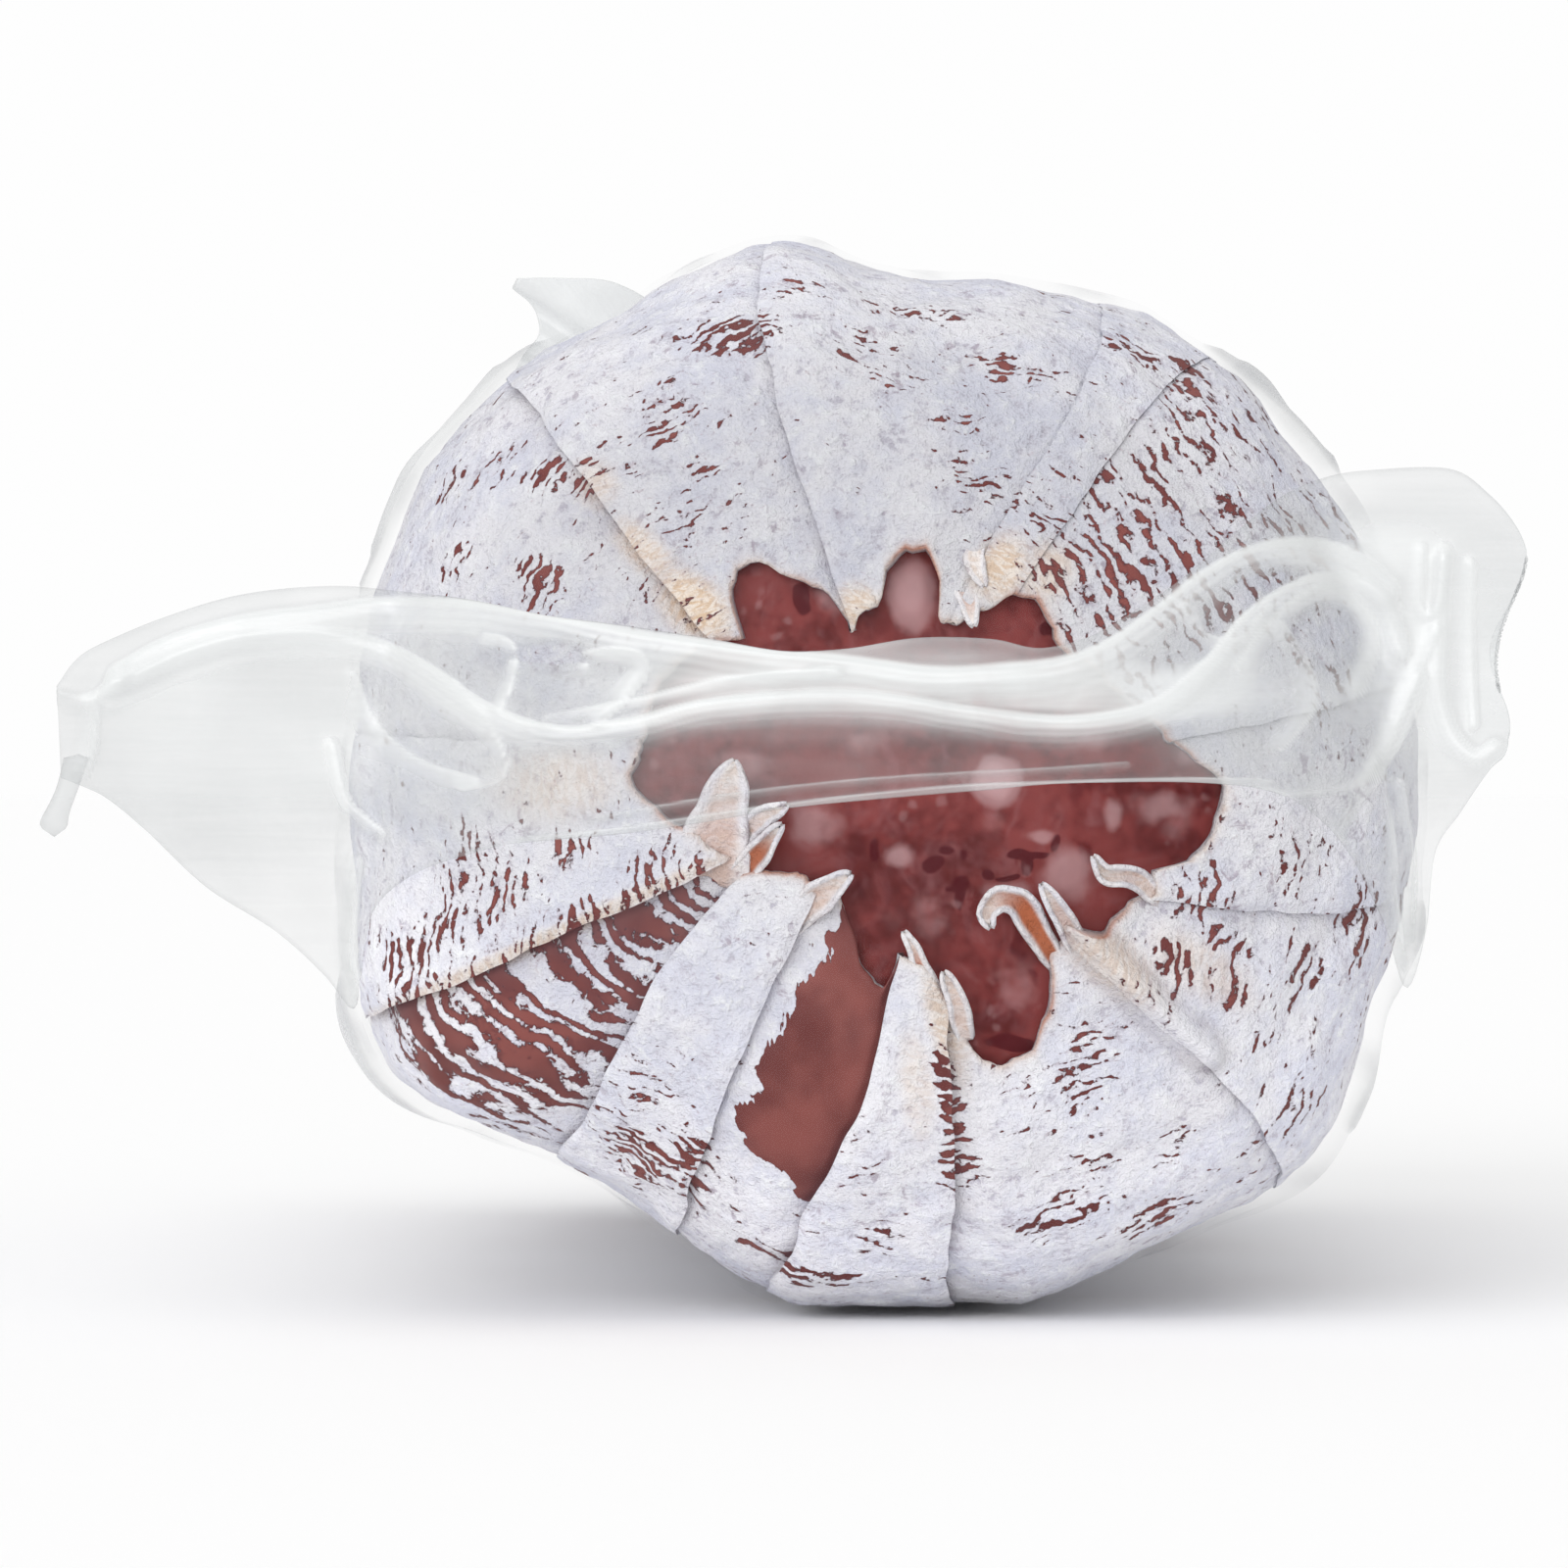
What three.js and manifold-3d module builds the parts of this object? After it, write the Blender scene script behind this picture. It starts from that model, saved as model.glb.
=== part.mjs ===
// A dry-cured, mould-ripened salami in its vacuum shrink bag, lying on its side.
// Frame: +Z up, the salami's axis along Y, its showing end towards -Y. The origin is under the axis, halfway along,
// on the surface that the salami rests on. Millimetres.
import * as THREE from "three";
import { ParametricGeometry } from "three/addons/geometries/ParametricGeometry.js";
import { mergeVertices } from "three/addons/utils/BufferGeometryUtils.js";
import Module from "manifold-3d";

// Driving dimensions.
const LENGTH = 236; // the casing, end to end
const RADIUS = 54.1; // the casing's mean outer radius
const SETTLE = 1.2; // how far its own weight has flattened the underside
const END_DEPTH = 30; // how far each rounded end reaches along the axis
const CASING_WALL = 1.6; // casing and mould together
const FILM_WALL = 0.6; // the bag's skin
const CLEARANCE = 0.35; // between one layer and the next
const PLEAT_STEP = 0.7; // how deep each overlapped fold of the casing drops
const FRONT_TEAR = 23; // the mean radius of the hole torn in the casing's front end
const REAR_TEAR = 13; // the same at the rear end
const SEAL_THICKNESS = 1.2; // two layers of film and the weld
const SEAL_GAP = 1; // the seal's back to the skin, along the axis
const MOUTH_HEIGHT = 1; // the slit that each seal closes
const MOUTH_LENGTH = 76; // how wide the slit is
const FLOOR_GAP = 1; // the lowest a seal's ear comes to the surface underneath
const REAR_TURN = -53; // degrees: how far the bag twists from the front seal to the rear one

// The roundness of an end: how square its shoulder is, and how flat its face.
const SHOULDER = 3.2;
const FACE = 2;
const SIDES = 48;

// Where the section leaves the round, as seen from the front: angles from +X towards +Z.
const BUMPS = [
  { at: 76, half: 16, rise: -1.6 },
  { at: 87, half: 14, rise: -2.2 },
  { at: 106, half: 16, rise: 1.6 },
  { at: 142, half: 40, rise: 1.6 },
  { at: 207, half: 20, rise: 3.8 },
  { at: 238, half: 30, rise: -5 },
  { at: 282, half: 16, rise: 0.8 },
  { at: 319, half: 20, rise: 3.6 },
];
const REAR_BUMP_SHARE = 0.5; // how much of the unroundness is left at the rear end

// The casing's folds: where each overlapping edge runs in to the tear.
const FOLDS = [12, 48, 68, 101, 136, 170, 204, 228, 247, 278, 313, 348];

// The front tear, by angle: how far each lobe reaches past the mean radius.
const LOBES = [
  { at: 355, half: 32, rise: 12 },
  { at: 50, half: 10, rise: 2.5 },
  { at: 80, half: 9, rise: 3.5 },
  { at: 99, half: 10, rise: -7 },
  { at: 121, half: 14, rise: 3.5 },
  { at: 180, half: 16, rise: 3.5 },
  { at: 229, half: 32, rise: -10 },
  { at: 277, half: 8, rise: -3 },
  { at: 297, half: 14, rise: 8.5 },
];

// A bag is cut to the salami's girth, so the seals' edges are shares of its radius. Each point is how far across and
// how high it lies from the axis, from the left ear's tip to the right ear's.
const FRONT_UPPER = [
  [-1.55, 0.2], [-1.35, 0.31], [-1.11, 0.37], [-0.92, 0.35], [-0.65, 0.3], [-0.37, 0.27], [-0.09, 0.22],
  [0.18, 0.2], [0.39, 0.26], [0.57, 0.39], [0.7, 0.5], [0.83, 0.58], [1.02, 0.59], [1.21, 0.46],
];
const FRONT_LOWER = [
  [-1.55, 0], [-1.42, -0.07], [-1.26, -0.2], [-1.07, -0.35], [-0.94, -0.31], [-0.68, -0.11], [-0.37, -0.07],
  [-0.09, -0.04], [0.18, -0.02], [0.48, 0], [0.7, -0.07], [0.92, -0.24], [1.07, -0.11], [1.18, 0.15],
];
// The rear seal's edges, before it is turned.
const REAR_UPPER = [
  [-1.44, 0.07], [-1.37, 0.15], [-1.28, 0.25], [-1.15, 0.29], [-0.92, 0.22], [-0.55, 0.11], [0, 0.07],
  [0.55, 0.09], [0.96, 0.15], [1.15, 0.22], [1.29, 0.18],
];
const REAR_LOWER = [
  [-1.42, 0.04], [-1.36, 0.05], [-1.3, 0.02], [-1.27, -0.07], [-1.15, -0.22], [-0.92, -0.2], [-0.55, -0.15],
  [0, -0.13], [0.55, -0.13], [0.92, -0.15], [1.11, -0.07], [1.26, 0.04],
];

// What follows from the dimensions above: each layer is an offset from the casing's outside.
const REST_DEPTH = RADIUS - SETTLE;
const CASING_INNER = -CASING_WALL;
const MEAT_OFFSET = CASING_INNER - CLEARANCE;
const SKIN_INNER = CLEARANCE;
const SKIN_OUTER = SKIN_INNER + FILM_WALL;
const AXIS_HEIGHT = REST_DEPTH + SKIN_OUTER;

const wasm = await Module();
wasm.setup();

const radians = THREE.MathUtils.degToRad;

// A smooth hill of the given height and half-width, round a turn of 360 degrees.
function hill(angle, { at, half, rise }) {
  const away = Math.abs(THREE.MathUtils.euclideanModulo(angle - at + 180, 360) - 180);
  return away < half ? (rise * (1 + Math.cos((Math.PI * away) / half))) / 2 : 0;
}

const sumOf = (hills, angle) => hills.reduce((sum, one) => sum + hill(angle, one), 0);

// The section's radius at an angle in degrees, for a layer offset from the casing's outside.
function sectionRadius(angle, y, offset) {
  const along = THREE.MathUtils.clamp(y / LENGTH + 0.5, 0, 1);
  const share = THREE.MathUtils.lerp(1, REAR_BUMP_SHARE, along);
  const free = RADIUS + offset + share * sumOf(BUMPS, angle);
  const down = -Math.sin(radians(angle));
  return down > 0 ? Math.min(free, (REST_DEPTH + offset) / down) : free;
}

// How far an end's surface lies behind its tip, where it is this share of the section's radius from the axis.
const endDepth = (share) => END_DEPTH * (1 - Math.pow(1 - Math.pow(share, SHOULDER), 1 / FACE));

// The point of a layer at an angle, this share of the way out to the section, on the front (-1) or rear (+1) end.
function endPoint(angle, share, side, offset, target) {
  const y = side * (LENGTH / 2 + offset - endDepth(share));
  return sectionPoint(angle, y, share * sectionRadius(angle, y, offset), target);
}

function sectionPoint(angle, y, radius, target) {
  return target.set(radius * Math.cos(radians(angle)), y, AXIS_HEIGHT + radius * Math.sin(radians(angle)));
}

// A closed surface of rings: each ring is a function of the angle that sets a point.
function ringsSurface(rings) {
  const surface = new ParametricGeometry(
    (u, v, target) => {
      const step = Math.round(u * SIDES) % SIDES;
      rings[Math.round((1 - v) * (rings.length - 1))]((360 * step) / SIDES, target);
    },
    SIDES,
    rings.length - 1,
  );
  return closedGeometry(surface);
}

// The same geometry with its shared vertices merged and its collapsed triangles left out.
function closedGeometry(geometry) {
  const bare = geometry.clone();
  bare.deleteAttribute("normal");
  bare.deleteAttribute("uv");
  const merged = mergeVertices(bare, 1e-3);
  const corners = [];
  for (let i = 0; i < merged.index.count; i += 3) {
    const [a, b, c] = [0, 1, 2].map((k) => merged.index.getX(i + k));
    if (a !== b && b !== c && c !== a) corners.push(a, b, c);
  }
  return merged.setIndex(corners);
}

const toSolid = (geometry) => new wasm.Manifold(
  new wasm.Mesh({
    numProp: 3,
    vertProperties: geometry.attributes.position.array,
    triVerts: new Uint32Array(geometry.index.array),
  }),
);

function fromSolid(solid) {
  const { vertProperties, triVerts } = solid.getMesh();
  return new THREE.BufferGeometry()
    .setAttribute("position", new THREE.BufferAttribute(vertProperties, 3))
    .setIndex(new THREE.BufferAttribute(triVerts, 1));
}

// The shares of the way out at which an end has its rings: close together round the shoulder.
const END_SHARES = [0.25, 0.45, 0.6, 0.72, 0.81, 0.88, 0.935, 0.97, 0.992, 1];

// The rings along the straight body, as shares of the half length between the two shoulders.
const BODY_SHARES = [-0.5, 0, 0.5];

function bodyRings(offset) {
  return BODY_SHARES.map((share) => (angle, target) => {
    const y = share * (LENGTH / 2 - END_DEPTH);
    return sectionPoint(angle, y, sectionRadius(angle, y, offset), target);
  });
}

// A layer's rings from one tip to the other.
function layerRings(offset) {
  const end = (side) => END_SHARES.map((share) => (angle, p) => endPoint(angle, share, side, offset, p));
  const tip = (side) => (angle, p) => endPoint(angle, 0, side, offset, p);
  return [tip(-1), ...end(-1), ...bodyRings(offset), ...end(1).reverse(), tip(1)];
}

function mesh(name, geometry, material) {
  const made = new THREE.Mesh(geometry, material);
  made.name = name;
  return made;
}

function meat() {
  const material = new THREE.MeshStandardMaterial({ color: 0x7a3230, roughness: 0.5, metalness: 0 });
  return mesh("meat", ringsSurface(layerRings(MEAT_OFFSET)), material);
}

// How far the casing's outside drops at an angle: each pleat rises evenly to the fold that lies over the next.
function pleatDrop(angle) {
  const turned = THREE.MathUtils.euclideanModulo(angle - FOLDS[0], 360) + FOLDS[0];
  const next = FOLDS.findIndex((fold) => fold > turned);
  const from = FOLDS[(next < 0 ? FOLDS.length : next) - 1];
  const to = next < 0 ? FOLDS[0] + 360 : FOLDS[next];
  return PLEAT_STEP * (1 - (turned - from) / (to - from));
}

// The tear's edge, as a share of the section's radius.
function tearShare(angle, side, offset) {
  const radius = side < 0 ? FRONT_TEAR + sumOf(LOBES, angle) : REAR_TEAR;
  return radius / sectionRadius(angle, (side * LENGTH) / 2, offset);
}

function casing() {
  // The wall from one tear's edge to the other's, seen from outside or from inside. It keeps the other layers'
  // rings, so that the layers lie parallel, and the rings that would fall inside a tear lie on its edge.
  const wall = (offset, pleated) => [-1, 1].map((side) =>
    [0, ...END_SHARES].map((ring) => (angle, target) => {
      const edge = tearShare(angle, side, offset);
      const share = Math.max(edge, ring);
      const way = (share - edge) / (1 - edge);
      endPoint(angle, share, side, offset, target);
      if (pleated) target.y -= side * pleatDrop(angle) * (1 - way * way);
    }),
  );
  const [front, rear] = wall(0, true);
  const [frontInner, rearInner] = wall(CASING_INNER, false);
  const outside = [...front, ...bodyRings(0), ...rear.reverse()];
  const inside = [...rearInner, ...bodyRings(CASING_INNER).reverse(), ...frontInner.reverse()];
  const rings = [...outside, ...inside, front[0]];
  const material = new THREE.MeshStandardMaterial({ color: 0xe4e6ec, roughness: 0.9, metalness: 0 });
  return mesh("casing", ringsSurface(rings), material);
}

// A slit through one end of the skin, along the line that its seal follows.
function mouth(side, height, turn) {
  const slit = new THREE.BoxGeometry(MOUTH_LENGTH, END_DEPTH, MOUTH_HEIGHT);
  slit.translate(0, side * (LENGTH / 2), height);
  slit.rotateY(radians(-turn));
  slit.translate(0, 0, AXIS_HEIGHT);
  return toSolid(closedGeometry(slit));
}

// The middle height of a seal over the axis, between its edges.
const middleOf = (upper, lower) => (edgeCurve(upper).getPoint(0.5).y + edgeCurve(lower).getPoint(0.5).y) / 2;

function bagSkin() {
  const outer = toSolid(ringsSurface(layerRings(SKIN_OUTER)));
  const inner = toSolid(ringsSurface(layerRings(SKIN_INNER)));
  const solid = outer
    .subtract(inner)
    .subtract(mouth(-1, middleOf(FRONT_UPPER, FRONT_LOWER), 0))
    .subtract(mouth(1, middleOf(REAR_UPPER, REAR_LOWER), REAR_TURN));
  return mesh("bag_skin", fromSolid(solid), filmMaterial());
}

const filmMaterial = () => new THREE.MeshStandardMaterial({
  color: 0xe6e9e8,
  roughness: 0.25,
  metalness: 0,
  transparent: true,
  opacity: 0.35,
});

const edgeCurve = (shares) =>
  new THREE.SplineCurve(shares.map(([across, up]) => new THREE.Vector2(across, up).multiplyScalar(RADIUS)));

// Past this share of the section a seal's ear stands out from the salami instead of following it round.
const EAR_SHARE = 0.93;

// A seal: a strip of welded film across one end, between its two edge curves, with an ear past each side.
function seal(name, side, turn, upper, lower, steps) {
  const across = 4;
  const [top, bottom] = [edgeCurve(upper), edgeCurve(lower)];
  const strip = new THREE.BoxGeometry(1, 1, 1, steps, 1, across);
  const place = strip.attributes.position;
  const point = new THREE.Vector3();
  for (let i = 0; i < place.count; i++) {
    point.fromBufferAttribute(place, i).addScalar(0.5);
    const flat = bottom.getPoint(point.x).lerp(top.getPoint(point.x), point.z);
    flat.rotateAround(new THREE.Vector2(), radians(turn));
    flat.y = Math.max(flat.y, FLOOR_GAP - AXIS_HEIGHT);
    const angle = THREE.MathUtils.radToDeg(flat.angle());
    const share = flat.length() / sectionRadius(angle, (side * LENGTH) / 2, SKIN_OUTER);
    const out = SKIN_OUTER + SEAL_GAP + SEAL_THICKNESS * (side < 0 ? 1 - point.y : point.y);
    const y = side * (LENGTH / 2 + out - endDepth(Math.min(share, EAR_SHARE)));
    place.setXYZ(i, flat.x, y, AXIS_HEIGHT + flat.y);
  }
  return mesh(name, closedGeometry(strip), filmMaterial());
}

const salami = new THREE.Group();
salami.add(
  meat(),
  casing(),
  bagSkin(),
  seal("front_seal", -1, 0, FRONT_UPPER, FRONT_LOWER, 36),
  seal("rear_seal", 1, REAR_TURN, REAR_UPPER, REAR_LOWER, 28),
);

export default salami;
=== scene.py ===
import math

import bpy
import numpy as np
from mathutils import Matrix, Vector, noise

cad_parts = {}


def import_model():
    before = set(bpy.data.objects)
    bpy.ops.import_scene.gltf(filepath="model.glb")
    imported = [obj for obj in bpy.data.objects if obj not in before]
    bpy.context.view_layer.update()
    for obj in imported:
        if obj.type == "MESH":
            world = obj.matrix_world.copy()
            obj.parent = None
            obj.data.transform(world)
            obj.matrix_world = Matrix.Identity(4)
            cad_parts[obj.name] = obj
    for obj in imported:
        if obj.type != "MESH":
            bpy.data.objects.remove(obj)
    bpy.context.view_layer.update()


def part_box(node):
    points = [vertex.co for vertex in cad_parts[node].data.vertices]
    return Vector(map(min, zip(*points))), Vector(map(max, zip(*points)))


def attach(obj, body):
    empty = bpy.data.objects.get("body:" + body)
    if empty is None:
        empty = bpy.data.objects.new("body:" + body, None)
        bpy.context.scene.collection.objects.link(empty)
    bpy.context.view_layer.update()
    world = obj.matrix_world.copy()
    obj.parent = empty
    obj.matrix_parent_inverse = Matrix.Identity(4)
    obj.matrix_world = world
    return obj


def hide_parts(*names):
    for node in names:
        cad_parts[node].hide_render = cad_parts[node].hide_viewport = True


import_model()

MM = 0.001

# ---------------------------------------------------------------- sizes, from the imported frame
CASING_LOW, CASING_HIGH = (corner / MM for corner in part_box("casing"))
SKIN_LOW, SKIN_HIGH = (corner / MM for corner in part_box("bag_skin"))
SKIN_OUTER = CASING_LOW.z - SKIN_LOW.z  # the film's outside over the casing's
RADIUS = (CASING_HIGH.x - CASING_LOW.x) / 2
HALF = (SKIN_HIGH.y - SKIN_LOW.y) / 2 - SKIN_OUTER  # half the casing's length
SETTLE = 1.2  # how far its weight has flattened the underside
AXIS = CASING_LOW.z + RADIUS - SETTLE
END_DEPTH = 30  # how far each rounded end reaches along the axis
SHOULDER = 3.2  # how square the end's shoulder is

# Where the section leaves the round: angle, half-width and rise.
BUMPS = [
    (76, 16, -1.6), (87, 14, -2.2), (106, 16, 1.6), (142, 40, 1.6),
    (207, 20, 3.8), (238, 30, -5), (282, 16, 0.8), (319, 20, 3.6),
]
REAR_BUMP_SHARE = 0.5  # how much of the unroundness is left at the rear end

# ---------------------------------------------------------------- the salami's own surface


def hills(angle, table):
    """Smooth hills (angle, half-width, rise) added round the turn."""
    total = np.zeros_like(np.asarray(angle, float))
    for at, half, rise in table:
        away = np.abs((angle - at + 180) % 360 - 180)
        total += np.where(away < half, rise * (1 + np.cos(np.pi * away / half)) / 2, 0)
    return total


def smooth(low, high, value):
    t = np.clip((value - low) / (high - low), 0, 1)
    return t * t * (3 - 2 * t)


def section_radius(angle, y, offset=0.0):
    """The section's radius at an angle, for a layer offset from the casing's outside."""
    along = np.clip(y / (2 * HALF) + 0.5, 0, 1)
    free = RADIUS + offset + (1 + (REAR_BUMP_SHARE - 1) * along) * hills(angle, BUMPS)
    down = -np.sin(np.radians(angle))
    flat = (RADIUS - SETTLE + offset) / np.maximum(down, 1e-6)
    return np.where(down > 0, np.minimum(free, flat), free)


# An end's profile from its tip to its rim: share of the radius, depth behind the tip, and length along it.
PROFILE_SHARE = np.sin(np.linspace(0, 1, 800) * np.pi / 2)
PROFILE_DEPTH = END_DEPTH * (1 - np.sqrt(1 - PROFILE_SHARE ** SHOULDER))
PROFILE_RUN = np.concatenate(
    [[0], np.cumsum(np.hypot(np.diff(PROFILE_SHARE) * RADIUS, np.diff(PROFILE_DEPTH)))]
)
RIM_RUN = PROFILE_RUN[-1]
STRAIGHT = 2 * (HALF - END_DEPTH)
WHOLE_RUN = 2 * RIM_RUN + STRAIGHT
SLOPE_STEP = 0.3  # to either side of a point, where its slope is taken


def end_radius(run):
    """How far an end's surface lies from the axis at this length from its tip: the radius past its rim."""
    return np.interp(run, PROFILE_RUN, PROFILE_SHARE) * RADIUS


def run_at(distance):
    """The length from the tip at which an end's surface is this far from the axis."""
    return np.interp(distance / RADIUS, PROFILE_SHARE, PROFILE_RUN)


def slope(on_end, profile):
    """How much a profile changes round each point of an end."""
    past = np.interp(on_end + SLOPE_STEP, PROFILE_RUN, profile)
    return past - np.interp(on_end - SLOPE_STEP, PROFILE_RUN, profile)


def shell(angle, run, lift, offset=0.0):
    """Points on the salami: run is the length along the surface from the front tip to the rear one, and lift
    is how far a point stands out from the surface there. Both may be arrays."""
    front = run < WHOLE_RUN / 2
    from_tip = np.where(front, run, WHOLE_RUN - run)
    on_end = np.minimum(from_tip, RIM_RUN)
    share = np.interp(on_end, PROFILE_RUN, PROFILE_SHARE)
    depth = np.interp(on_end, PROFILE_RUN, PROFILE_DEPTH)
    slope_out, slope_in = slope(on_end, PROFILE_DEPTH), RADIUS * slope(on_end, PROFILE_SHARE)
    size = np.hypot(slope_out, slope_in) + 1e-9
    out, ahead = slope_out / size, slope_in / size
    side = np.where(front, -1.0, 1.0)
    y = side * (HALF + offset - depth - np.maximum(from_tip - RIM_RUN, 0))
    radius = share * section_radius(angle, y, offset) + lift * out
    y = y + side * lift * ahead
    turn = np.radians(angle)
    return np.stack([radius * np.cos(turn), y, AXIS + radius * np.sin(turn)], axis=-1)


def lumps(points, size, seed):
    """Smooth noise from -1 to 1 with lumps of about that size, one value for each point."""
    flat = points.reshape(-1, 3) / size + seed
    values = np.fromiter((noise.noise(Vector(p)) for p in flat), float, len(flat))
    return values.reshape(points.shape[:-1])


def spline(points, steps):
    """A smooth curve through a few points, sampled evenly between each two."""
    given = np.array(points, float)
    padded = np.vstack([2 * given[0] - given[1], given, 2 * given[-1] - given[-2]])
    out = []
    for i in range(1, len(padded) - 2):
        a, b, c, d = padded[i - 1 : i + 3]
        t = np.linspace(0, 1, steps, endpoint=False)[:, None]
        square, cube = a - 2.5 * b + 2 * c - d / 2, 1.5 * (b - c) + (d - a) / 2
        out.append(b + (c - a) * t / 2 + square * t ** 2 + cube * t ** 3)
    return np.vstack(out + [given[-1:]])


def evenly(curve, share):
    """Points at these shares of a sampled curve's length."""
    run = np.concatenate([[0], np.cumsum(np.linalg.norm(np.diff(curve, axis=0), axis=1))])
    at = np.asarray(share) * run[-1]
    return np.stack([np.interp(at, run, curve[:, k]) for k in range(curve.shape[1])], axis=-1)


def signed_distance(points, curve):
    """How far each 2-D point lies from a sampled curve: positive on its left, negative on its right."""
    flat = points.reshape(-1, 2)
    best, side = np.full(len(flat), 1e9), np.ones(len(flat))
    for a, b in zip(curve[:-1], curve[1:]):
        way = b - a
        t = np.clip(((flat - a) @ way) / (way @ way + 1e-12), 0, 1)
        away = np.linalg.norm(flat - a - t[:, None] * way, axis=1)
        left = way[0] * (flat[:, 1] - a[1]) - way[1] * (flat[:, 0] - a[0])
        side = np.where(away < best, np.where(left >= 0, 1.0, -1.0), side)
        best = np.minimum(best, away)
    return (best * side).reshape(points.shape[:-1])


def distance_to(points, curve):
    return np.abs(signed_distance(points, curve))


def round_from(angle, at, from_axis):
    """How far round the axis each point lies from one angle."""
    return np.radians((angle - at + 180) % 360 - 180) * from_axis


def oval(flat, x, z, half_x, half_z):
    """How far each 2-D point lies from an oval's middle: 1 on its edge."""
    return np.hypot((flat[..., 0] - x) / half_x, (flat[..., 1] - z) / half_z)


# ---------------------------------------------------------------- mesh work


def deselect():
    if bpy.context.object and bpy.context.object.mode != "OBJECT":
        bpy.ops.object.mode_set(mode="OBJECT")
    bpy.ops.object.select_all(action="DESELECT")


def sheet(name, columns, rows, place, masks=None):
    """A grid of that many columns and rows, laid out by place: an array (rows, columns, 3) in millimetres.
    masks are named values or triples for each vertex, which the materials read."""
    deselect()
    bpy.ops.mesh.primitive_grid_add(x_subdivisions=columns - 1, y_subdivisions=rows - 1, size=1)
    piece = bpy.context.object
    piece.name = piece.data.name = name
    count = len(piece.data.vertices)
    flat = np.zeros(count * 3, np.float32)
    piece.data.vertices.foreach_get("co", flat)
    flat = flat.reshape(-1, 3)
    column = np.rint((flat[:, 0] + 0.5) * (columns - 1)).astype(int)
    row = np.rint((flat[:, 1] + 0.5) * (rows - 1)).astype(int)
    piece.data.vertices.foreach_set("co", (place[row, column] * MM).astype(np.float32).ravel())
    for mask, values in (masks or {}).items():
        kind, socket = ("FLOAT_VECTOR", "vector") if values.ndim == 3 else ("FLOAT", "value")
        layer = piece.data.attributes.new(mask, kind, "POINT")
        layer.data.foreach_set(socket, values[row, column].astype(np.float32).ravel())
    piece.data.update()
    return piece


def closed_round(place):
    """Lays a wrapped sheet's last column on its first and gathers each of its ends to a point."""
    place[:, -1] = place[:, 0]
    place[0], place[-1] = place[0].mean(0), place[-1].mean(0)
    return place


def close_up(piece, gap=0.002):
    """Merges the seam and the poles and turns every face outwards."""
    deselect()
    piece.select_set(True)
    bpy.context.view_layer.objects.active = piece
    bpy.ops.object.mode_set(mode="EDIT")
    bpy.ops.mesh.select_all(action="SELECT")
    bpy.ops.mesh.remove_doubles(threshold=gap * MM)
    bpy.ops.mesh.dissolve_degenerate(threshold=gap * MM / 2)
    bpy.ops.mesh.select_all(action="SELECT")
    bpy.ops.mesh.normals_make_consistent(inside=False)
    bpy.ops.object.mode_set(mode="OBJECT")
    bpy.ops.object.shade_smooth()


def thicken(piece, thickness, offset=0.0):
    wall = piece.modifiers.new("wall", "SOLIDIFY")
    wall.thickness = thickness * MM
    wall.offset = offset
    deselect()
    piece.select_set(True)
    bpy.context.view_layer.objects.active = piece
    bpy.ops.object.modifier_apply(modifier=wall.name)
    bpy.ops.object.shade_smooth()


def join(pieces):
    deselect()
    for piece in pieces:
        piece.select_set(True)
    bpy.context.view_layer.objects.active = pieces[0]
    bpy.ops.object.join()
    return pieces[0]


# ---------------------------------------------------------------- the casing

# Each fold of the casing: its angle at the rim, its angle at the tear, how deep it steps, which side lies on
# top (+1 where the pleat past it laps over, -1 where the pleat before it does), and how far it bows.
FRONT_FOLDS = [
    (12, 8, 0.5, 1, 0), (51.8, 55.7, 0.26, 1, 1.5), (66, 68, 0.26, -1, -3), (100.8, 103.4, 0.7, -1, 3.5),
    (133, 141, 0.9, -1, -3), (174, 170, 0.5, 1, 2), (204, 206, 1.2, -1, 0), (228.8, 212, 1.0, 1, 5),
    (246, 239, 0.8, -1, 0.5), (257, 274, 0.9, 1, -4.5), (278, 286, 1.0, -1, -3), (314.3, 319, 0.7, 1, 2),
    (348.9, 336, 0.8, 1, 1.5),
]
REAR_FOLDS = [
    (14, 20, 0.9, 1, 2), (50, 44, 0.8, 1, 0), (68, 72, 0.9, -1, -2), (102, 96, 1.0, 1, 0),
    (131, 138, 0.9, -1, 3), (172, 165, 1.0, 1, 0), (206, 212, 1.2, -1, 2), (228, 224, 0.9, 1, 0),
    (243, 248, 0.8, -1, -2), (260, 266, 0.9, 1, 0), (281, 288, 1.1, -1, 2), (312, 306, 0.9, 1, 0),
    (346, 340, 1.0, 1, -3),
]
# The tear's outline: angle, and distance from the axis.
FRONT_TEAR = [
    (0, 33.4), (5, 30.4), (9, 27.9), (24, 23.9), (39, 21.6), (46, 22.8), (51, 23.3), (56, 22.5), (61, 19.4),
    (66, 17.4), (72, 17.2), (75, 21.5), (80, 24.5), (85, 24.1), (89, 22.4), (92, 18), (99, 16.4),
    (103, 14.9), (108, 19.6), (114, 21.6), (120, 25.1), (124, 25.3), (128, 23.8), (134, 19.6), (147, 22.5),
    (161, 24), (170, 24), (180, 25), (187, 22.4), (195, 18.5), (205, 15.8), (208, 17.3), (216, 14.1),
    (227, 12.9), (239, 13.7), (243, 11.4), (256, 14.9), (265, 19.2), (270, 20.5), (274, 17), (283, 18.3),
    (286, 21.5), (289, 28.6), (292, 30.1), (298, 30.1), (304, 27.8), (314, 22), (322, 21.2), (326, 24.7),
    (334, 26.4), (338, 28.7), (342, 27.6), (346, 31), (352, 32.8),
]
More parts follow.
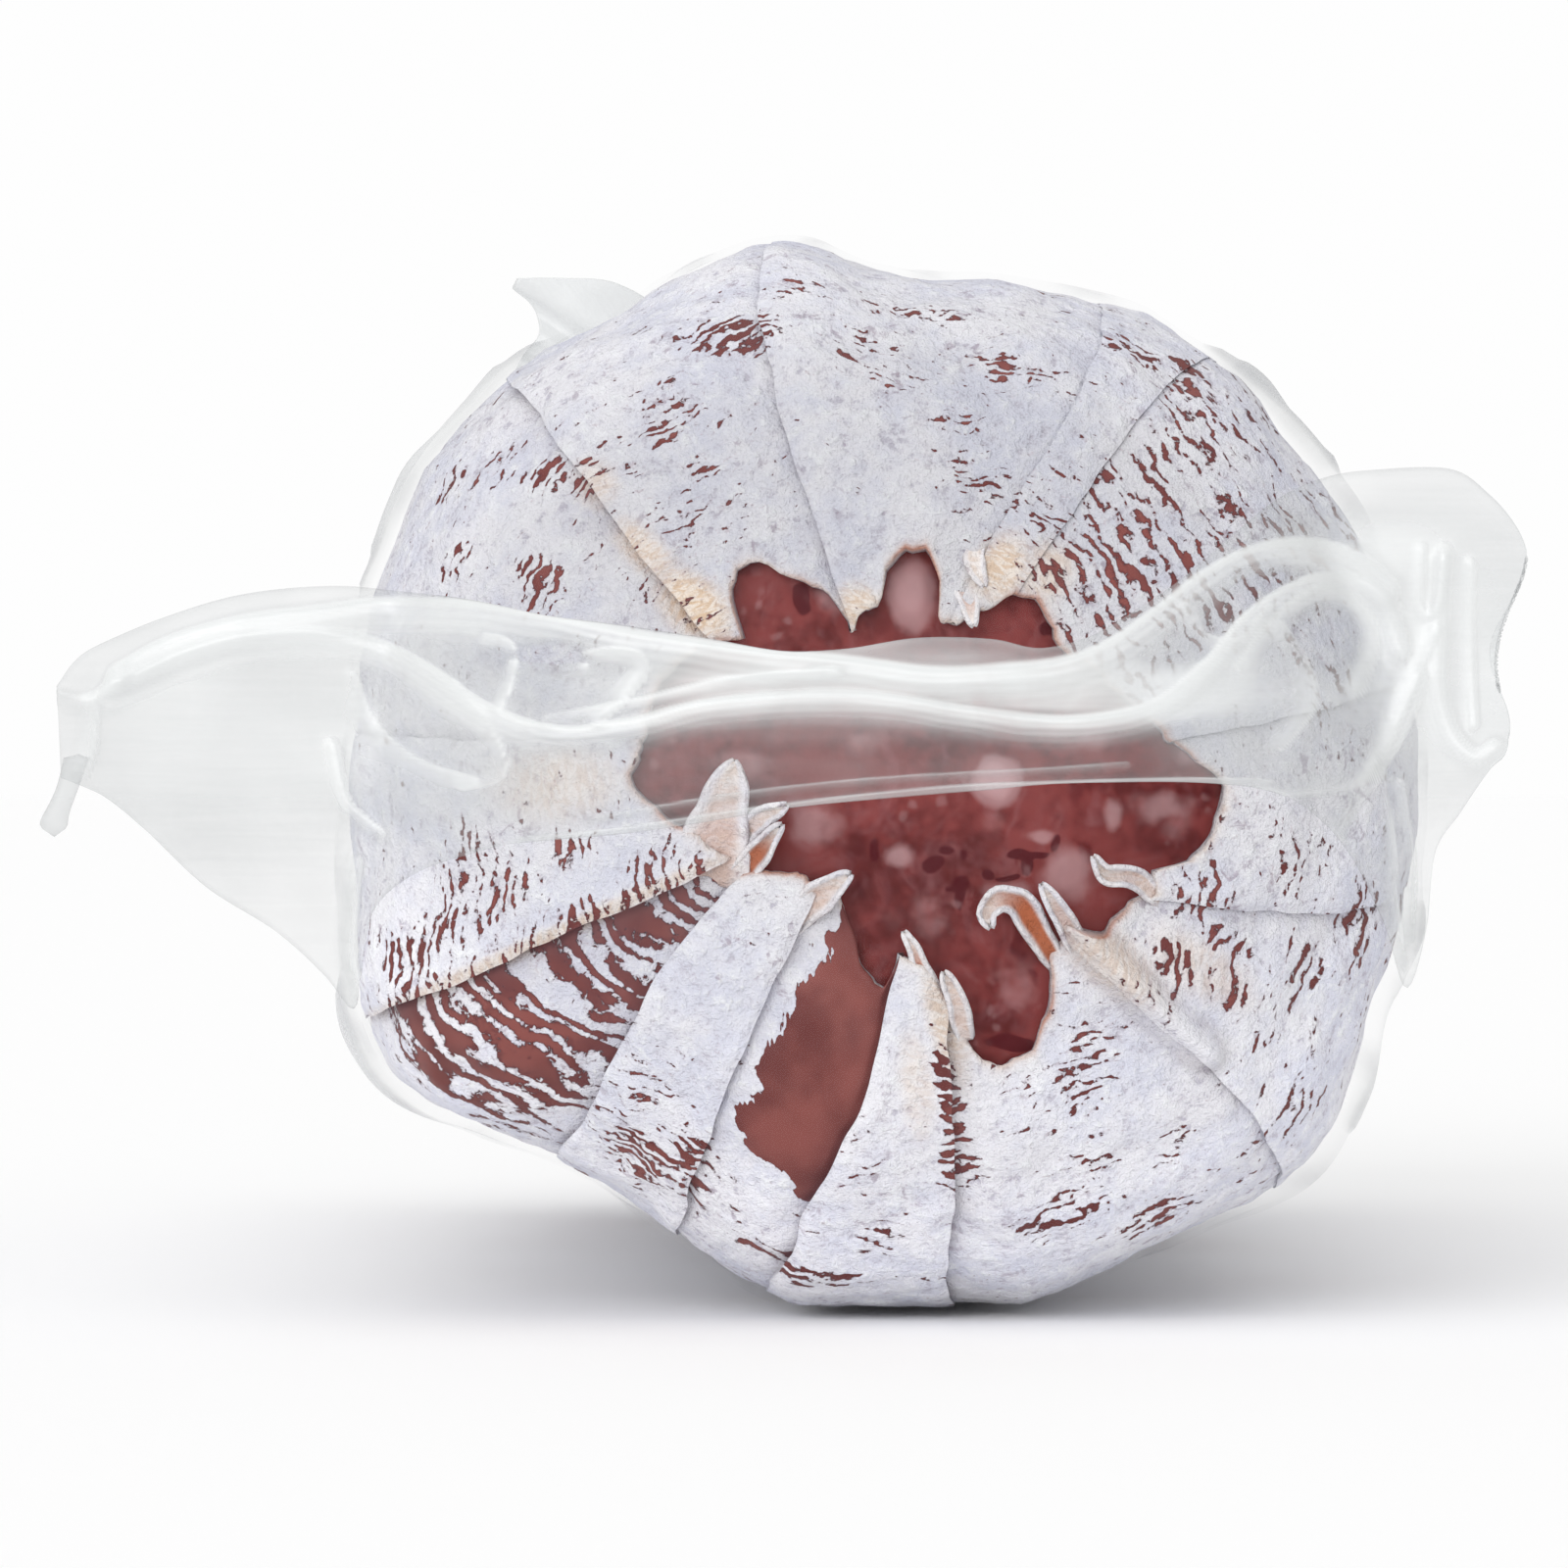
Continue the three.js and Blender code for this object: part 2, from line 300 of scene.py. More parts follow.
REAR_TEAR = [
    (20, 13), (44, 11), (70, 14.5), (98, 11.5), (130, 15), (165, 12), (200, 14.5), (224, 11), (250, 13.5),
    (285, 10.5), (310, 14), (340, 12),
]
# How coarse the bare streaks are on each pleat, from the first fold on.
STREAK_SIZE = [1.25, 0.75, 0.7, 0.75, 0.75, 0.9, 1.8, 0.85, 1.4, 0.9, 0.9, 1.1, 1.0]
# The angle that the streaks on each pleat lie across.
STREAK_LEAN = [32, 59, 84, 118, 153, 188, 213, 238, 251, 267, 296, 331, 360]
PLEAT_COLUMNS = 36
FRONT_ROWS, BODY_ROWS, REAR_ROWS = 92, 26, 44
WALL = 0.8  # the casing's thickness
MEAT_DEPTH = 1.4  # how far the meat lies under the casing's outside
DEEPEST = -1.15  # how far the casing's outside may sink, so that it stays over its inside


def tear_radius(angle, outline, rag):
    """The tear's distance from the axis at an angle, with the ragged edge of torn casing."""
    at = np.array([a for a, _ in outline] + [outline[0][0] + 360], float)
    radius = np.array([r for _, r in outline] + [outline[0][1]], float)
    turned = (angle - at[0]) % 360 + at[0]
    spot = np.searchsorted(at, turned, side="right") - 1
    spot = np.clip(spot, 0, len(at) - 2)
    t = (turned - at[spot]) / (at[spot + 1] - at[spot])
    eased = 0.45 * t + 0.55 * t * t * (3 - 2 * t)
    base = radius[spot] + (radius[spot + 1] - radius[spot]) * eased
    ring = np.stack([np.cos(np.radians(angle)), np.sin(np.radians(angle)), np.zeros_like(angle)], -1) * 20
    return base + rag * (lumps(ring, 1.3, 4.1) + 0.6 * lumps(ring, 0.6, 9.4))


def swells(points):
    """How far the salami's outside swells and sinks, for the casing and the film on it alike."""
    total = 0.15 + 1.0 * lumps(points, 16, 2.0) + 0.7 * lumps(points, 6.5, 5.0)
    total = np.maximum(total, 0.2 * total - 0.35)
    return total * smooth(0, 10, points[..., 2])


def pleats(folds):
    """For each column: its pleat's number, how far across it the column lies, and the folds on both sides."""
    across = (1 - np.cos(np.linspace(0, np.pi, PLEAT_COLUMNS))) / 2
    number = np.repeat(np.arange(len(folds)), PLEAT_COLUMNS)
    part = np.tile(across, len(folds))
    number, part = np.append(number, 0), np.append(part, 0.0)
    table = np.array(folds, float)
    before = table[number]
    after = table[(number + 1) % len(folds)].copy()
    wraps = number == len(folds) - 1
    after[wraps, :2] += 360
    return number, part, before, after


def end_relief(folds, way, run_from_axis, angle_of):
    """How far the pleated casing stands out on an end, and the painted shade that darkens its creases. way is
    0 at the tear and 1 at the rim.
    """
    number, part, before, after = pleats(folds)
    width = np.radians(after[:, 0] - before[:, 0]) * way + np.radians(after[:, 1] - before[:, 1]) * (1 - way)
    width = np.maximum(width * run_from_axis, 0.5)
    from_before, from_after = part * width, (1 - part) * width
    fade = 1 - 0.75 * smooth(0.75, 1.0, way)
    relief = np.zeros_like(width)
    crease_shade = np.zeros_like(width)
    tuck = np.zeros_like(width)
    for gap, fold, top, turn in ((from_before, before, 1, 1), (from_after, after, -1, -1)):
        over = fold[:, 3] == top
        step = fold[:, 2] * fade
        high = 0.75 * np.exp(-gap / 7) - 0.4 * np.exp(-((gap / 0.7) ** 2))
        low = -0.6 * np.exp(-gap / 5) - 0.2 * np.exp(-gap / 0.8)
        relief += step * np.where(over, high, low)
        # Painted shade in each crease: a dark line and a wider soft shade on the side that lies under the
        # next pleat, and a faint line on the side on top.
        shade = np.exp(-gap / 0.35) + 0.4 * np.exp(-gap / 2.2)
        crease_shade += np.where(over, 0.2 * np.exp(-((gap / 0.2) ** 2)), shade) * np.minimum(step, 1)
        tuck += np.where(over, 0, -turn * 0.5 * np.exp(-gap / 0.5)) * fade
    pillow = np.sin(np.pi * part) * np.minimum(width / 22, 1.2) * 0.4
    relief += pillow * (1 - 0.6 * smooth(0.7, 1, way))
    angle = angle_of + np.degrees(tuck / np.maximum(run_from_axis, 5))
    return relief, crease_shade, angle


# The raised, rope-like pleat below the tear on the right: its path from the axis, across and up.
ROPE = [(16.2, -11.2), (19.8, -15.2), (25.4, -21), (31.2, -26.2)]


def casing():
    """Both ends, pleated round their tears, the body between them, and a plain wall inside."""
    number, part, front_before, front_after = pleats(FRONT_FOLDS)
    _, _, rear_before, rear_after = pleats(REAR_FOLDS)

    def between(before, after, k):
        return before[:, k] + (after[:, k] - before[:, k]) * part

    front_rim, front_tear = between(front_before, front_after, 0), between(front_before, front_after, 1)
    rear_rim, rear_tear = between(rear_before, rear_after, 0), between(rear_before, rear_after, 1)
    front_bow, rear_bow = between(front_before, front_after, 4), between(rear_before, rear_after, 4)

    def end_rows(count, rim, tear, bow, folds, outline, rag):
        way = np.linspace(0, 1, count)[:, None]
        edge = tear_radius(tear, outline, rag)
        edge_run = run_at(edge)
        run = edge_run + (RIM_RUN - edge_run) * way
        angle = tear + (rim - tear) * way ** 0.9 + bow * np.sin(np.pi * way)
        from_axis = end_radius(run)
        relief, crease_shade, angle = end_relief(folds, way, from_axis, angle)
        lip = np.exp(-((run - edge_run) / 1.1))
        relief = relief + 0.5 * lip - 0.45 * np.exp(-((run - edge_run) / 0.35))
        return angle, run, relief, crease_shade, lip, way + 0 * run

    front = end_rows(FRONT_ROWS, front_rim, front_tear, front_bow, FRONT_FOLDS, FRONT_TEAR, 0.35)
    rear = end_rows(REAR_ROWS, rear_rim, rear_tear, rear_bow, REAR_FOLDS, REAR_TEAR, 0.5)
    rear = [rows[::-1] for rows in rear]
    rear[1] = WHOLE_RUN - rear[1]

    along = np.linspace(0, 1, BODY_ROWS)[1:-1, None]
    body_run = RIM_RUN + STRAIGHT * along + 0 * front_rim
    body_angle = front_rim + (rear_rim - front_rim) * smooth(0, 1, along)
    body_relief = front[2][-1] * (1 - smooth(0, 0.16, along)) + rear[2][0] * smooth(0.84, 1, along)
    body_crease_shade = front[3][-1] * (1 - smooth(0, 0.08, along)) + rear[3][0] * smooth(0.92, 1, along)
    nothing = np.zeros_like(body_run)
    body = (body_angle, body_run, body_relief, body_crease_shade, nothing, nothing + 1)

    angle, run, relief, crease_shade, lip, way = (np.vstack(rows) for rows in zip(front, body, rear))
    points = shell(angle, run, 0 * run)
    from_axis = np.hypot(points[..., 0], points[..., 2] - AXIS)
    angle = angle + np.degrees((0.7 * lumps(points, 9, 51.0) + 0.25 * lumps(points, 3, 53.0)) / from_axis)
    points = shell(angle, run, 0 * run)
    # The painted crease shade comes and goes along each fold.
    crease_shade = crease_shade * np.clip(0.62 + 0.9 * lumps(points, 7, 57.0), 0.12, 1)
    rope = distance_to(points[..., [0, 2]] - [0, AXIS], spline(ROPE, 12))
    on_front = run < RIM_RUN
    relief = relief + np.where(on_front, 2.2 * np.exp(-((rope / 1.5) ** 2)), 0)
    # Painted shade along both flanks of the rope-like pleat.
    crease_shade = crease_shade + np.where(on_front, 0.5 * np.exp(-(((rope - 2) / 0.6) ** 2)), 0)
    relief = np.maximum(relief + swells(points) + 0.26 * lumps(points, 2.4, 8.0), DEEPEST)
    outside = shell(angle, run, relief)

    inner_runs = [
        front[1][0], (front[1][0] + RIM_RUN) / 2, RIM_RUN + 0 * part, WHOLE_RUN / 2 + 0 * part,
        WHOLE_RUN - RIM_RUN + 0 * part, (rear[1][-1] + WHOLE_RUN - RIM_RUN) / 2, rear[1][-1],
    ]
    inner_angles = [
        front[0][0], (front[0][0] + front_rim) / 2, front_rim, (front_rim + rear_rim) / 2, rear_rim,
        (rear[0][-1] + rear_rim) / 2, rear[0][-1],
    ]
    depths = np.array([-WALL] + [0.1 - MEAT_DEPTH] * 5 + [-WALL])[:, None]
    inner = shell(np.array(inner_angles)[::-1], np.array(inner_runs)[::-1], depths + 0 * np.array(inner_runs))
    place = np.vstack([outside, inner, outside[:1]])

    def for_all(values):
        back = np.repeat(values[:1] * 0, len(inner), axis=0)
        return np.vstack([values, back, values[:1]])

    size = np.array(STREAK_SIZE)[number]
    on_end = np.minimum(run, RIM_RUN)
    even = run - 0.6 * (on_end - end_radius(on_end))
    end_even = np.minimum(even, RIM_RUN - 0.6 * (RIM_RUN - RADIUS))
    lean = np.radians(angle - np.array(STREAK_LEAN)[number])
    spot = np.stack([end_even * np.sin(lean), end_even * (np.cos(lean) - 1) + even, 0 * run], axis=-1)
    spot = spot / size[:, None]
    spot[..., 2] = number * 13.0
    masks = {
        "place": np.concatenate([spot, np.repeat(spot[:1], len(inner), axis=0), spot[:1]]),
        "wear": for_all(wear(angle, run, points, part, number)),
        "cream": for_all(cream(angle, run, lip, on_front)),
        "tan": for_all(0.8 * lip ** 4 * np.clip(0.3 + 1.6 * lumps(points, 7, 63.0), 0, 1)),
        # Painted shade in the folds' creases, and painted fill light where the lamps reach least.
        "crease_shade": for_all(crease_shade),
        "painted_fill": for_all(painted_fill_light(points, run)),
    }
    piece = sheet("salami_casing", place.shape[1], place.shape[0], place, masks)
    close_up(piece)
    return piece


# Where the mould has worn through to the casing on the front: angle, distance from the axis, half the width
# round the axis, half the width along the radius, and how bare it is.
FRONT_WEAR = [
    (110, 46, 3.4, 2.4, 0.5), (106, 45, 2.5, 3, 0.46), (114, 48, 2, 1.5, 0.4), (100, 49, 3, 2, 0.38),
    (119, 42, 3, 4, 0.37), (137, 44, 2, 2.4, 0.46), (134, 41, 2, 2, 0.46), (149, 39, 2, 3.4, 0.48),
    (152, 38, 2.2, 2.6, 0.45), (145, 51, 2.2, 2, 0.38), (148, 55, 2, 2, 0.38), (153, 46, 2, 3, 0.36),
    (140, 48, 3, 3, 0.36), (122, 41, 1.6, 3.4, 0.44), (120, 36, 1.2, 2.2, 0.38), (129, 32, 2.5, 3, 0.36),
    (73, 44, 4, 1.8, 0.45), (73, 32, 3.4, 3, 0.38), (78, 36, 3, 3, 0.35), (86, 49, 5, 1.5, 0.43),
    (60, 50, 3.4, 2.4, 0.44), (53, 51, 3.4, 3.4, 0.42), (46, 35, 4, 5, 0.42), (303, 35, 2.8, 3.4, 0.4),
    (328, 32, 2, 3.4, 0.47), (329, 38, 2.2, 3, 0.47), (335, 37, 1.7, 3.2, 0.46), (337, 45, 3, 2.6, 0.39),
    (332, 44, 3, 2.4, 0.36), (293, 46, 4.6, 2.4, 0.46), (300, 42, 3, 3, 0.37), (308, 44, 3, 3, 0.36),
    (281.5, 32, 1.2, 7, 0.55), (281, 38, 2, 3, 0.5), (191, 31, 2.4, 2, 0.46), (195, 37, 2.4, 3, 0.44),
    (199, 45, 2.2, 8, 0.48), (190, 42, 4, 4, 0.35), (199, 24, 2, 3.4, 0.4), (236, 48, 4, 5, 0.5),
    (243, 46, 3.4, 6, 0.45), (232, 41, 3, 5, 0.38), (260, 50, 7, 2, 0.48), (332, 53, 5, 3.4, 0.43),
    (322, 50, 4, 4, 0.38), (344, 49, 5, 3.4, 0.44), (309, 32, 3, 2.4, 0.4), (322, 32, 2, 2.4, 0.42),
    (303, 50, 4, 2.4, 0.42), (270, 46, 3, 3, 0.38), (341, 33, 3, 3, 0.42), (10, 45, 6, 4, 0.36),
    (350, 41, 5, 4, 0.34), (60, 31, 4, 6, 0.34), (92, 44, 4, 4, 0.33), (346, 55, 5, 3, 0.44),
    (229, 55, 6, 3, 0.4),
]
# Whole pleats that are worn: pleat number, the part of the pleat where it starts, from and to what distance
# from the axis, and how bare.
WORN_PLEATS = [(6, -0.2, 15, 53, 0.52), (0, 0.15, 21, 54, 0.375), (5, 0.74, 17, 52, 0.37)]
# The bare patch beside the tear: pleat number, the part of the pleat that stays white at the tear and at the
# patch's outer end, and the patch's reach from the axis.
PATCH_PLEAT, PATCH_EDGE, PATCH_REACH = 8, (0.3, 0.17), (13, 41.5)


def wear(angle, run, points, part, number):
    """How bare the casing is at each point: 0 all mould, 1 none left."""
    from_axis = end_radius(run)
    front = run < RIM_RUN + 12
    ground = 0.2 + 0.12 * lumps(points, 11, 21.0)
    total = ground
    for at, distance, half_round, half_along, amount in FRONT_WEAR:
        away = round_from(angle, at, from_axis)
        d = np.hypot(away / half_round, (run - run_at(distance)) / half_along)
        inside = 1 - smooth(0.5, 1.5, d)
        total = np.maximum(total, np.where(front, ground + (amount - ground) * inside, 0))
    for pleat, start, near, far, amount in WORN_PLEATS:
        inside = smooth(near - 2, near + 3, from_axis) * smooth(far + 2, far - 4, from_axis)
        inside = inside * smooth(start, start + 0.18, part)
        amount = amount + 0.1 * lumps(points, 8, 27.0)
        worn = np.maximum(total, ground + (amount - ground) * inside)
        total = np.where((number == pleat) & front, worn, total)
    ragged = 0.13 * lumps(points, 3.2, 23.0) + 0.09 * lumps(points, 1.4, 24.0)
    reach = (from_axis - PATCH_REACH[0]) / (PATCH_REACH[1] - PATCH_REACH[0])
    white = PATCH_EDGE[0] + (PATCH_EDGE[1] - PATCH_EDGE[0]) * reach
    beside = smooth(-0.03, 0.03, part - white + ragged * (1.7 - reach))
    within = smooth(0.03, -0.03, reach - 1 - 0.1 * (part - 0.5) + 0.5 * ragged)
    patch = beside * within * (number == PATCH_PLEAT) * (reach > 0)
    total = np.where(front, np.maximum(total, patch), total)
    elsewhere = 0.26 + 0.3 * lumps(points, 26, 31.0) + 0.14 * lumps(points, 8, 33.0)
    return total + (elsewhere - total) * smooth(RIM_RUN + 2, RIM_RUN + 20, run)


def painted_fill_light(points, run):
    """Painted fill light: how much the mould's colour is brightened, least above the tear on the front and
    most low down and near the rim, where the lamps reach it least, so that the two look alike."""
    front = np.interp(points[..., 2] - AXIS, [-56, -40, -15, 10, 30, 56], [1, 0.75, 0.45, 0.13, 0.05, 0.25])
    from_axis = np.hypot(points[..., 0], points[..., 2] - AXIS)
    front = np.minimum(front + 0.4 * smooth(38, 54, from_axis), 1)
    return front + (0.5 - front) * smooth(RIM_RUN - 12, RIM_RUN + 30, run)


# Where bare, dried casing shows cream: angle, distance from the axis, half-width round it, half-width along
# it, and amount.
CREAM = [
    (137, 25, 3, 5, 1.0), (136, 32, 2, 4.5, 0.7), (134, 40, 2.4, 2.6, 0.5), (62, 24, 3, 4, 0.85),
    (53, 26, 3, 4, 0.6), (98, 17, 3, 3, 0.8), (204.5, 33, 0.9, 24, 0.7), (284, 24, 2, 7, 0.7),
    (322, 26, 3, 7, 0.6), (330, 35, 3, 6, 0.45), (180, 32, 4, 7, 0.45), (276, 30, 2, 6, 0.4),
]


def cream(angle, run, lip, on_front):
    """How much of the dried casing's cream shows: along the tear's lip and in the stretches listed above."""
    from_axis = end_radius(run)
    total = 0.5 * lip ** 2
    for at, distance, half_round, half_along, amount in CREAM:
        away = round_from(angle, at, from_axis)
        d = np.hypot(away / half_round, (from_axis - distance) / half_along)
        total = np.maximum(total, amount * (1 - smooth(0.3, 1.3, d)) * on_front)
    return total


# Curled rags of casing along the tear: their middle line from the axis (across, up), how far each stands out
# from the surface at its ends, its width at the root, midway and at the tip, how far it is rolled, and how
# tan it is inside.
RAGS = [
    ([(-17.8, -9.6), (-16.4, -4.2), (-14.9, 2.3)], (0.5, 1.8), (8.5, 6.5, 2.8), 50, 0.3),
    ([(-16.2, -7), (-13, -4), (-9.8, -1.9)], (0.5, 2.2), (4, 2.8, 2.2), 95, 0.2),
    ([(-14.6, -9.6), (-12.6, -6.8), (-10.2, -4)], (0.4, 2.6), (3, 3.4, 3), 140, 0.95),
    ([(-9.4, -14), (-6.4, -10.8), (-3.4, -8.8)], (0.4, 2.2), (3, 3.8, 3), 110, 0.25),
    ([(5.2, -23.6), (3.8, -18.8), (1.8, -14.4)], (0.6, 2.0), (2.2, 2, 1.5), 90, 1.0),
    ([(7.8, -25.2), (7, -21.6), (5.7, -18.3)], (0.5, 1.8), (2, 2.4, 2), 110, 0.2),
    ([(17, -18), (15, -14.8), (13.3, -12), (11.3, -11.2), (9.9, -12.4), (10.3, -14.2)], (0.4, 2.6),
     (1.8, 3.6, 3), 100, 1.0),
    ([(19.4, -16.8), (17, -12.6), (15.2, -9.8)], (0.5, 2.2), (2.4, 2.6, 2.2), 120, 0.35),
    ([(27.4, -11.4), (24.2, -9.2), (21.6, -8.9), (20.2, -7)], (0.4, 2.2), (2, 3, 2.8), 130, 0.2),
    ([(9.4, 24.6), (8.7, 22), (9.7, 19.4)], (0.4, 0.9), (1.6, 2.2, 1.4), 60, 0.0),
    ([(7.4, 20.4), (8.1, 17.8), (8.7, 15.5)], (0.4, 0.8), (3, 1.9, 1.3), 70, 0.35),
]

RAG_ROWS, RAG_COLUMNS, RAG_WALL = 34, 19, 0.5


def rag(index, path, lift, width, roll, tan):
    """One rag: a strip that tapers, rolls up along its length and leans out."""
    rows, columns = RAG_ROWS, RAG_COLUMNS
    line = evenly(spline(path, 12), np.linspace(0, 1, rows))
    way = np.gradient(line, axis=0)
    way /= np.linalg.norm(way, axis=1)[:, None]
    across = np.stack([-way[:, 1], way[:, 0]], axis=-1)
    t = np.linspace(0, 1, rows)[:, None]
    width = np.interp(t, [0, 0.5, 1], width) * (1 + 0.06 * np.sin(9 * t + index))
    width = width * np.sqrt(np.clip(1 - t ** 7, 0.01, 1))
    arc = np.radians(roll) * (0.35 + 0.65 * t)
    bend = np.linspace(-1, 1, columns)[None, :] * arc
    ball = width / (2 * arc)
    sideways, rise = ball * np.sin(bend), ball * (1 - np.cos(bend))
    flat = line[:, None, :] + sideways[..., None] * across[:, None, :]
    ground = np.hypot(flat[..., 0], flat[..., 1]) / RADIUS
    depth = np.interp(ground, PROFILE_SHARE, PROFILE_DEPTH)
    stand = lift[0] + (lift[1] - lift[0]) * t ** 1.3 + rise - 1.6 * (1 - t) ** 3
    place = np.stack([flat[..., 0], -(HALF - depth) - stand, AXIS + flat[..., 1]], axis=-1)
    place += 0.22 * np.stack([lumps(place, 2.2, index + 3.1 * k) for k in range(3)], axis=-1)
    base = np.zeros((rows, columns))
    inside = 1 - smooth(0.4, 0.85, np.abs(bend / arc))
    spot = np.stack([place[..., 0], place[..., 2], base + index * 3.0], axis=-1)
    masks = {
        "place": spot,
        "wear": base + 0.1,
        "cream": base + 0.2 + 0.35 * inside,
        "tan": tan * inside * (1 - smooth(0.5, 0.95, t)),
        # Painted fill light: a fixed brightening of the rags' mould.
        "painted_fill": base + 0.6,
        "crease_shade": base,
    }
    piece = sheet(f"rag_{index}", columns, rows, place, masks)
    thicken(piece, RAG_WALL)
    return piece


# ---------------------------------------------------------------- the meat

# Fat grains that show in the tear, and dark red spots: across and up from the axis, half-width, half-height
# and amount.
FAT_GRAINS = [
    (10.9, 0.3, 2.2, 2.2, 1.0), (2.6, 19, 2.1, 3.2, 0.8), (18.2, -8.8, 2.6, 2.6, 0.5),
    (12, -10.6, 2.2, 1.1, 0.42), (-7, -4.2, 2.6, 2.3, 0.4), (27.4, -2.2, 3.6, 1.6, 0.35),
    (1.6, -7, 1.4, 1.2, 0.5), (-5, 18.5, 1.7, 2.2, 0.3), (13, -20, 2.6, 3.0, 0.22),
    (22.6, -3, 0.9, 1.5, 0.45), (-14.5, 1.8, 2.8, 1.7, 0.35), (21, 5, 2.4, 1.8, 0.35),
    (-2.4, 3.6, 2.3, 1.8, 0.25), (15.3, -5.2, 1.3, 0.5, 0.4), (4.6, -13, 2.4, 2.6, 0.22),
    (30.5, 3.5, 2.0, 1.6, 0.35),
]
BLOOD_SPOTS = [
    (4.6, -7.9, 1.0, 0.9, 1.0), (5.9, -6.6, 0.9, 0.5, 0.9), (7.5, -7, 0.3, 0.7, 0.8),
    (-1.1, -6.4, 0.5, 1.0, 1.0), (7.2, -9.6, 0.9, 0.8, 0.9), (7.4, -11.3, 0.5, 1.4, 1.0),
    (6.5, -10.2, 0.8, 0.4, 0.8), (10.3, -8.9, 0.8, 0.5, 1.0), (12.2, -9.2, 1.3, 0.3, 0.9),
    (13.2, -7.2, 1.3, 0.6, 1.0), (13.9, -8.2, 0.7, 0.9, 1.0), (15.2, -6.8, 1.1, 0.4, 0.9),
    (16.8, -5.9, 0.5, 0.8, 1.0), (12.4, -25.8, 3.0, 0.9, 0.7), (-8.4, 18.2, 1.2, 2.4, 0.6),
    (16.8, 15.4, 2.0, 1.0, 0.6),
]


def spots(flat, table):
    """The strongest of several soft oval spots at each point."""
    total = np.zeros(flat.shape[:-1])
    for x, z, half_x, half_z, amount in table:
        d = oval(flat, x, z, half_x, half_z)
        total = np.maximum(total, amount * np.clip(1.5 - d, 0, 1))
    return total


MEAT_COLUMNS = 340


def meat():
    """The meat in one closed skin, finer over the front end, where the tear shows it."""
    share = np.concatenate([np.linspace(0, 0.14, 150), np.linspace(0.14, 1, 81)[1:]])[:, None]
    angle = np.linspace(0, 360, MEAT_COLUMNS)[None, :] + 0 * share
    run = WHOLE_RUN * share + 0 * angle
    points = shell(angle, run, 0 * run)
    front = 1 - smooth(0.6 * RIM_RUN, RIM_RUN, run)
    flat = points[..., [0, 2]] - [0, AXIS]
    warped = flat + 0.5 * np.stack([lumps(points, 2.4, 45.0), lumps(points, 2.4, 47.0)], axis=-1)
    fat, blood = spots(warped, FAT_GRAINS) * front, spots(warped, BLOOD_SPOTS) * front
    relief = 0.35 * lumps(points, 9, 41.0) + 0.15 * lumps(points, 3, 43.0)
    relief = relief + 0.25 * smooth(0.3, 0.7, fat) - 0.15
    place = closed_round(shell(angle % 360, run, front * relief - MEAT_DEPTH))
    piece = sheet("salami_meat", MEAT_COLUMNS, len(share), place, {"fat": fat, "blood": blood})
    close_up(piece)
    return piece


# ---------------------------------------------------------------- the bag

# Where the film stands off the casing round the rim: angle, half-width, height.
STAND_OFF = [(33, 20, 1.5), (152, 26, 0.8), (197, 24, 1.6), (322, 24, 1.3), (343, 18, 1.2), (214, 14, 0.8)]
# Tight wrinkles of film on the front: their paths from the axis, width, height and milkiness.
SKIN_WRINKLES = [
    ([(33, 42.5), (39.5, 36.5), (43.5, 31.5)], 0.9, 0.5, 0.35),
    ([(35.5, 41), (41, 35.6), (44.6, 31)], 0.5, 0.3, 0.3),
    ([(-34.5, 43.5), (-43, 34), (-48, 27), (-51.5, 20)], 0.8, 0.5, 0.35),
    ([(-37.5, 40.5), (-45, 31), (-50, 23)], 0.5, 0.3, 0.2),
    ([(-53.5, -20), (-51, -26), (-47.5, -31), (-42.5, -35)], 0.8, 0.5, 0.45),
    ([(50.8, -20), (49.2, -27), (46, -33)], 0.7, 0.5, 0.3),
    ([(52.5, -12), (51.6, -20), (49.6, -29), (46.6, -34)], 0.5, 0.3, 0.3),
]
CLEAR = 0.014  # the haze of one tight layer of film
FILM_LIFT = 0.95  # how far the film lies over the casing's mean outside
SKIN_COLUMNS, SKIN_ROWS = 361, 190


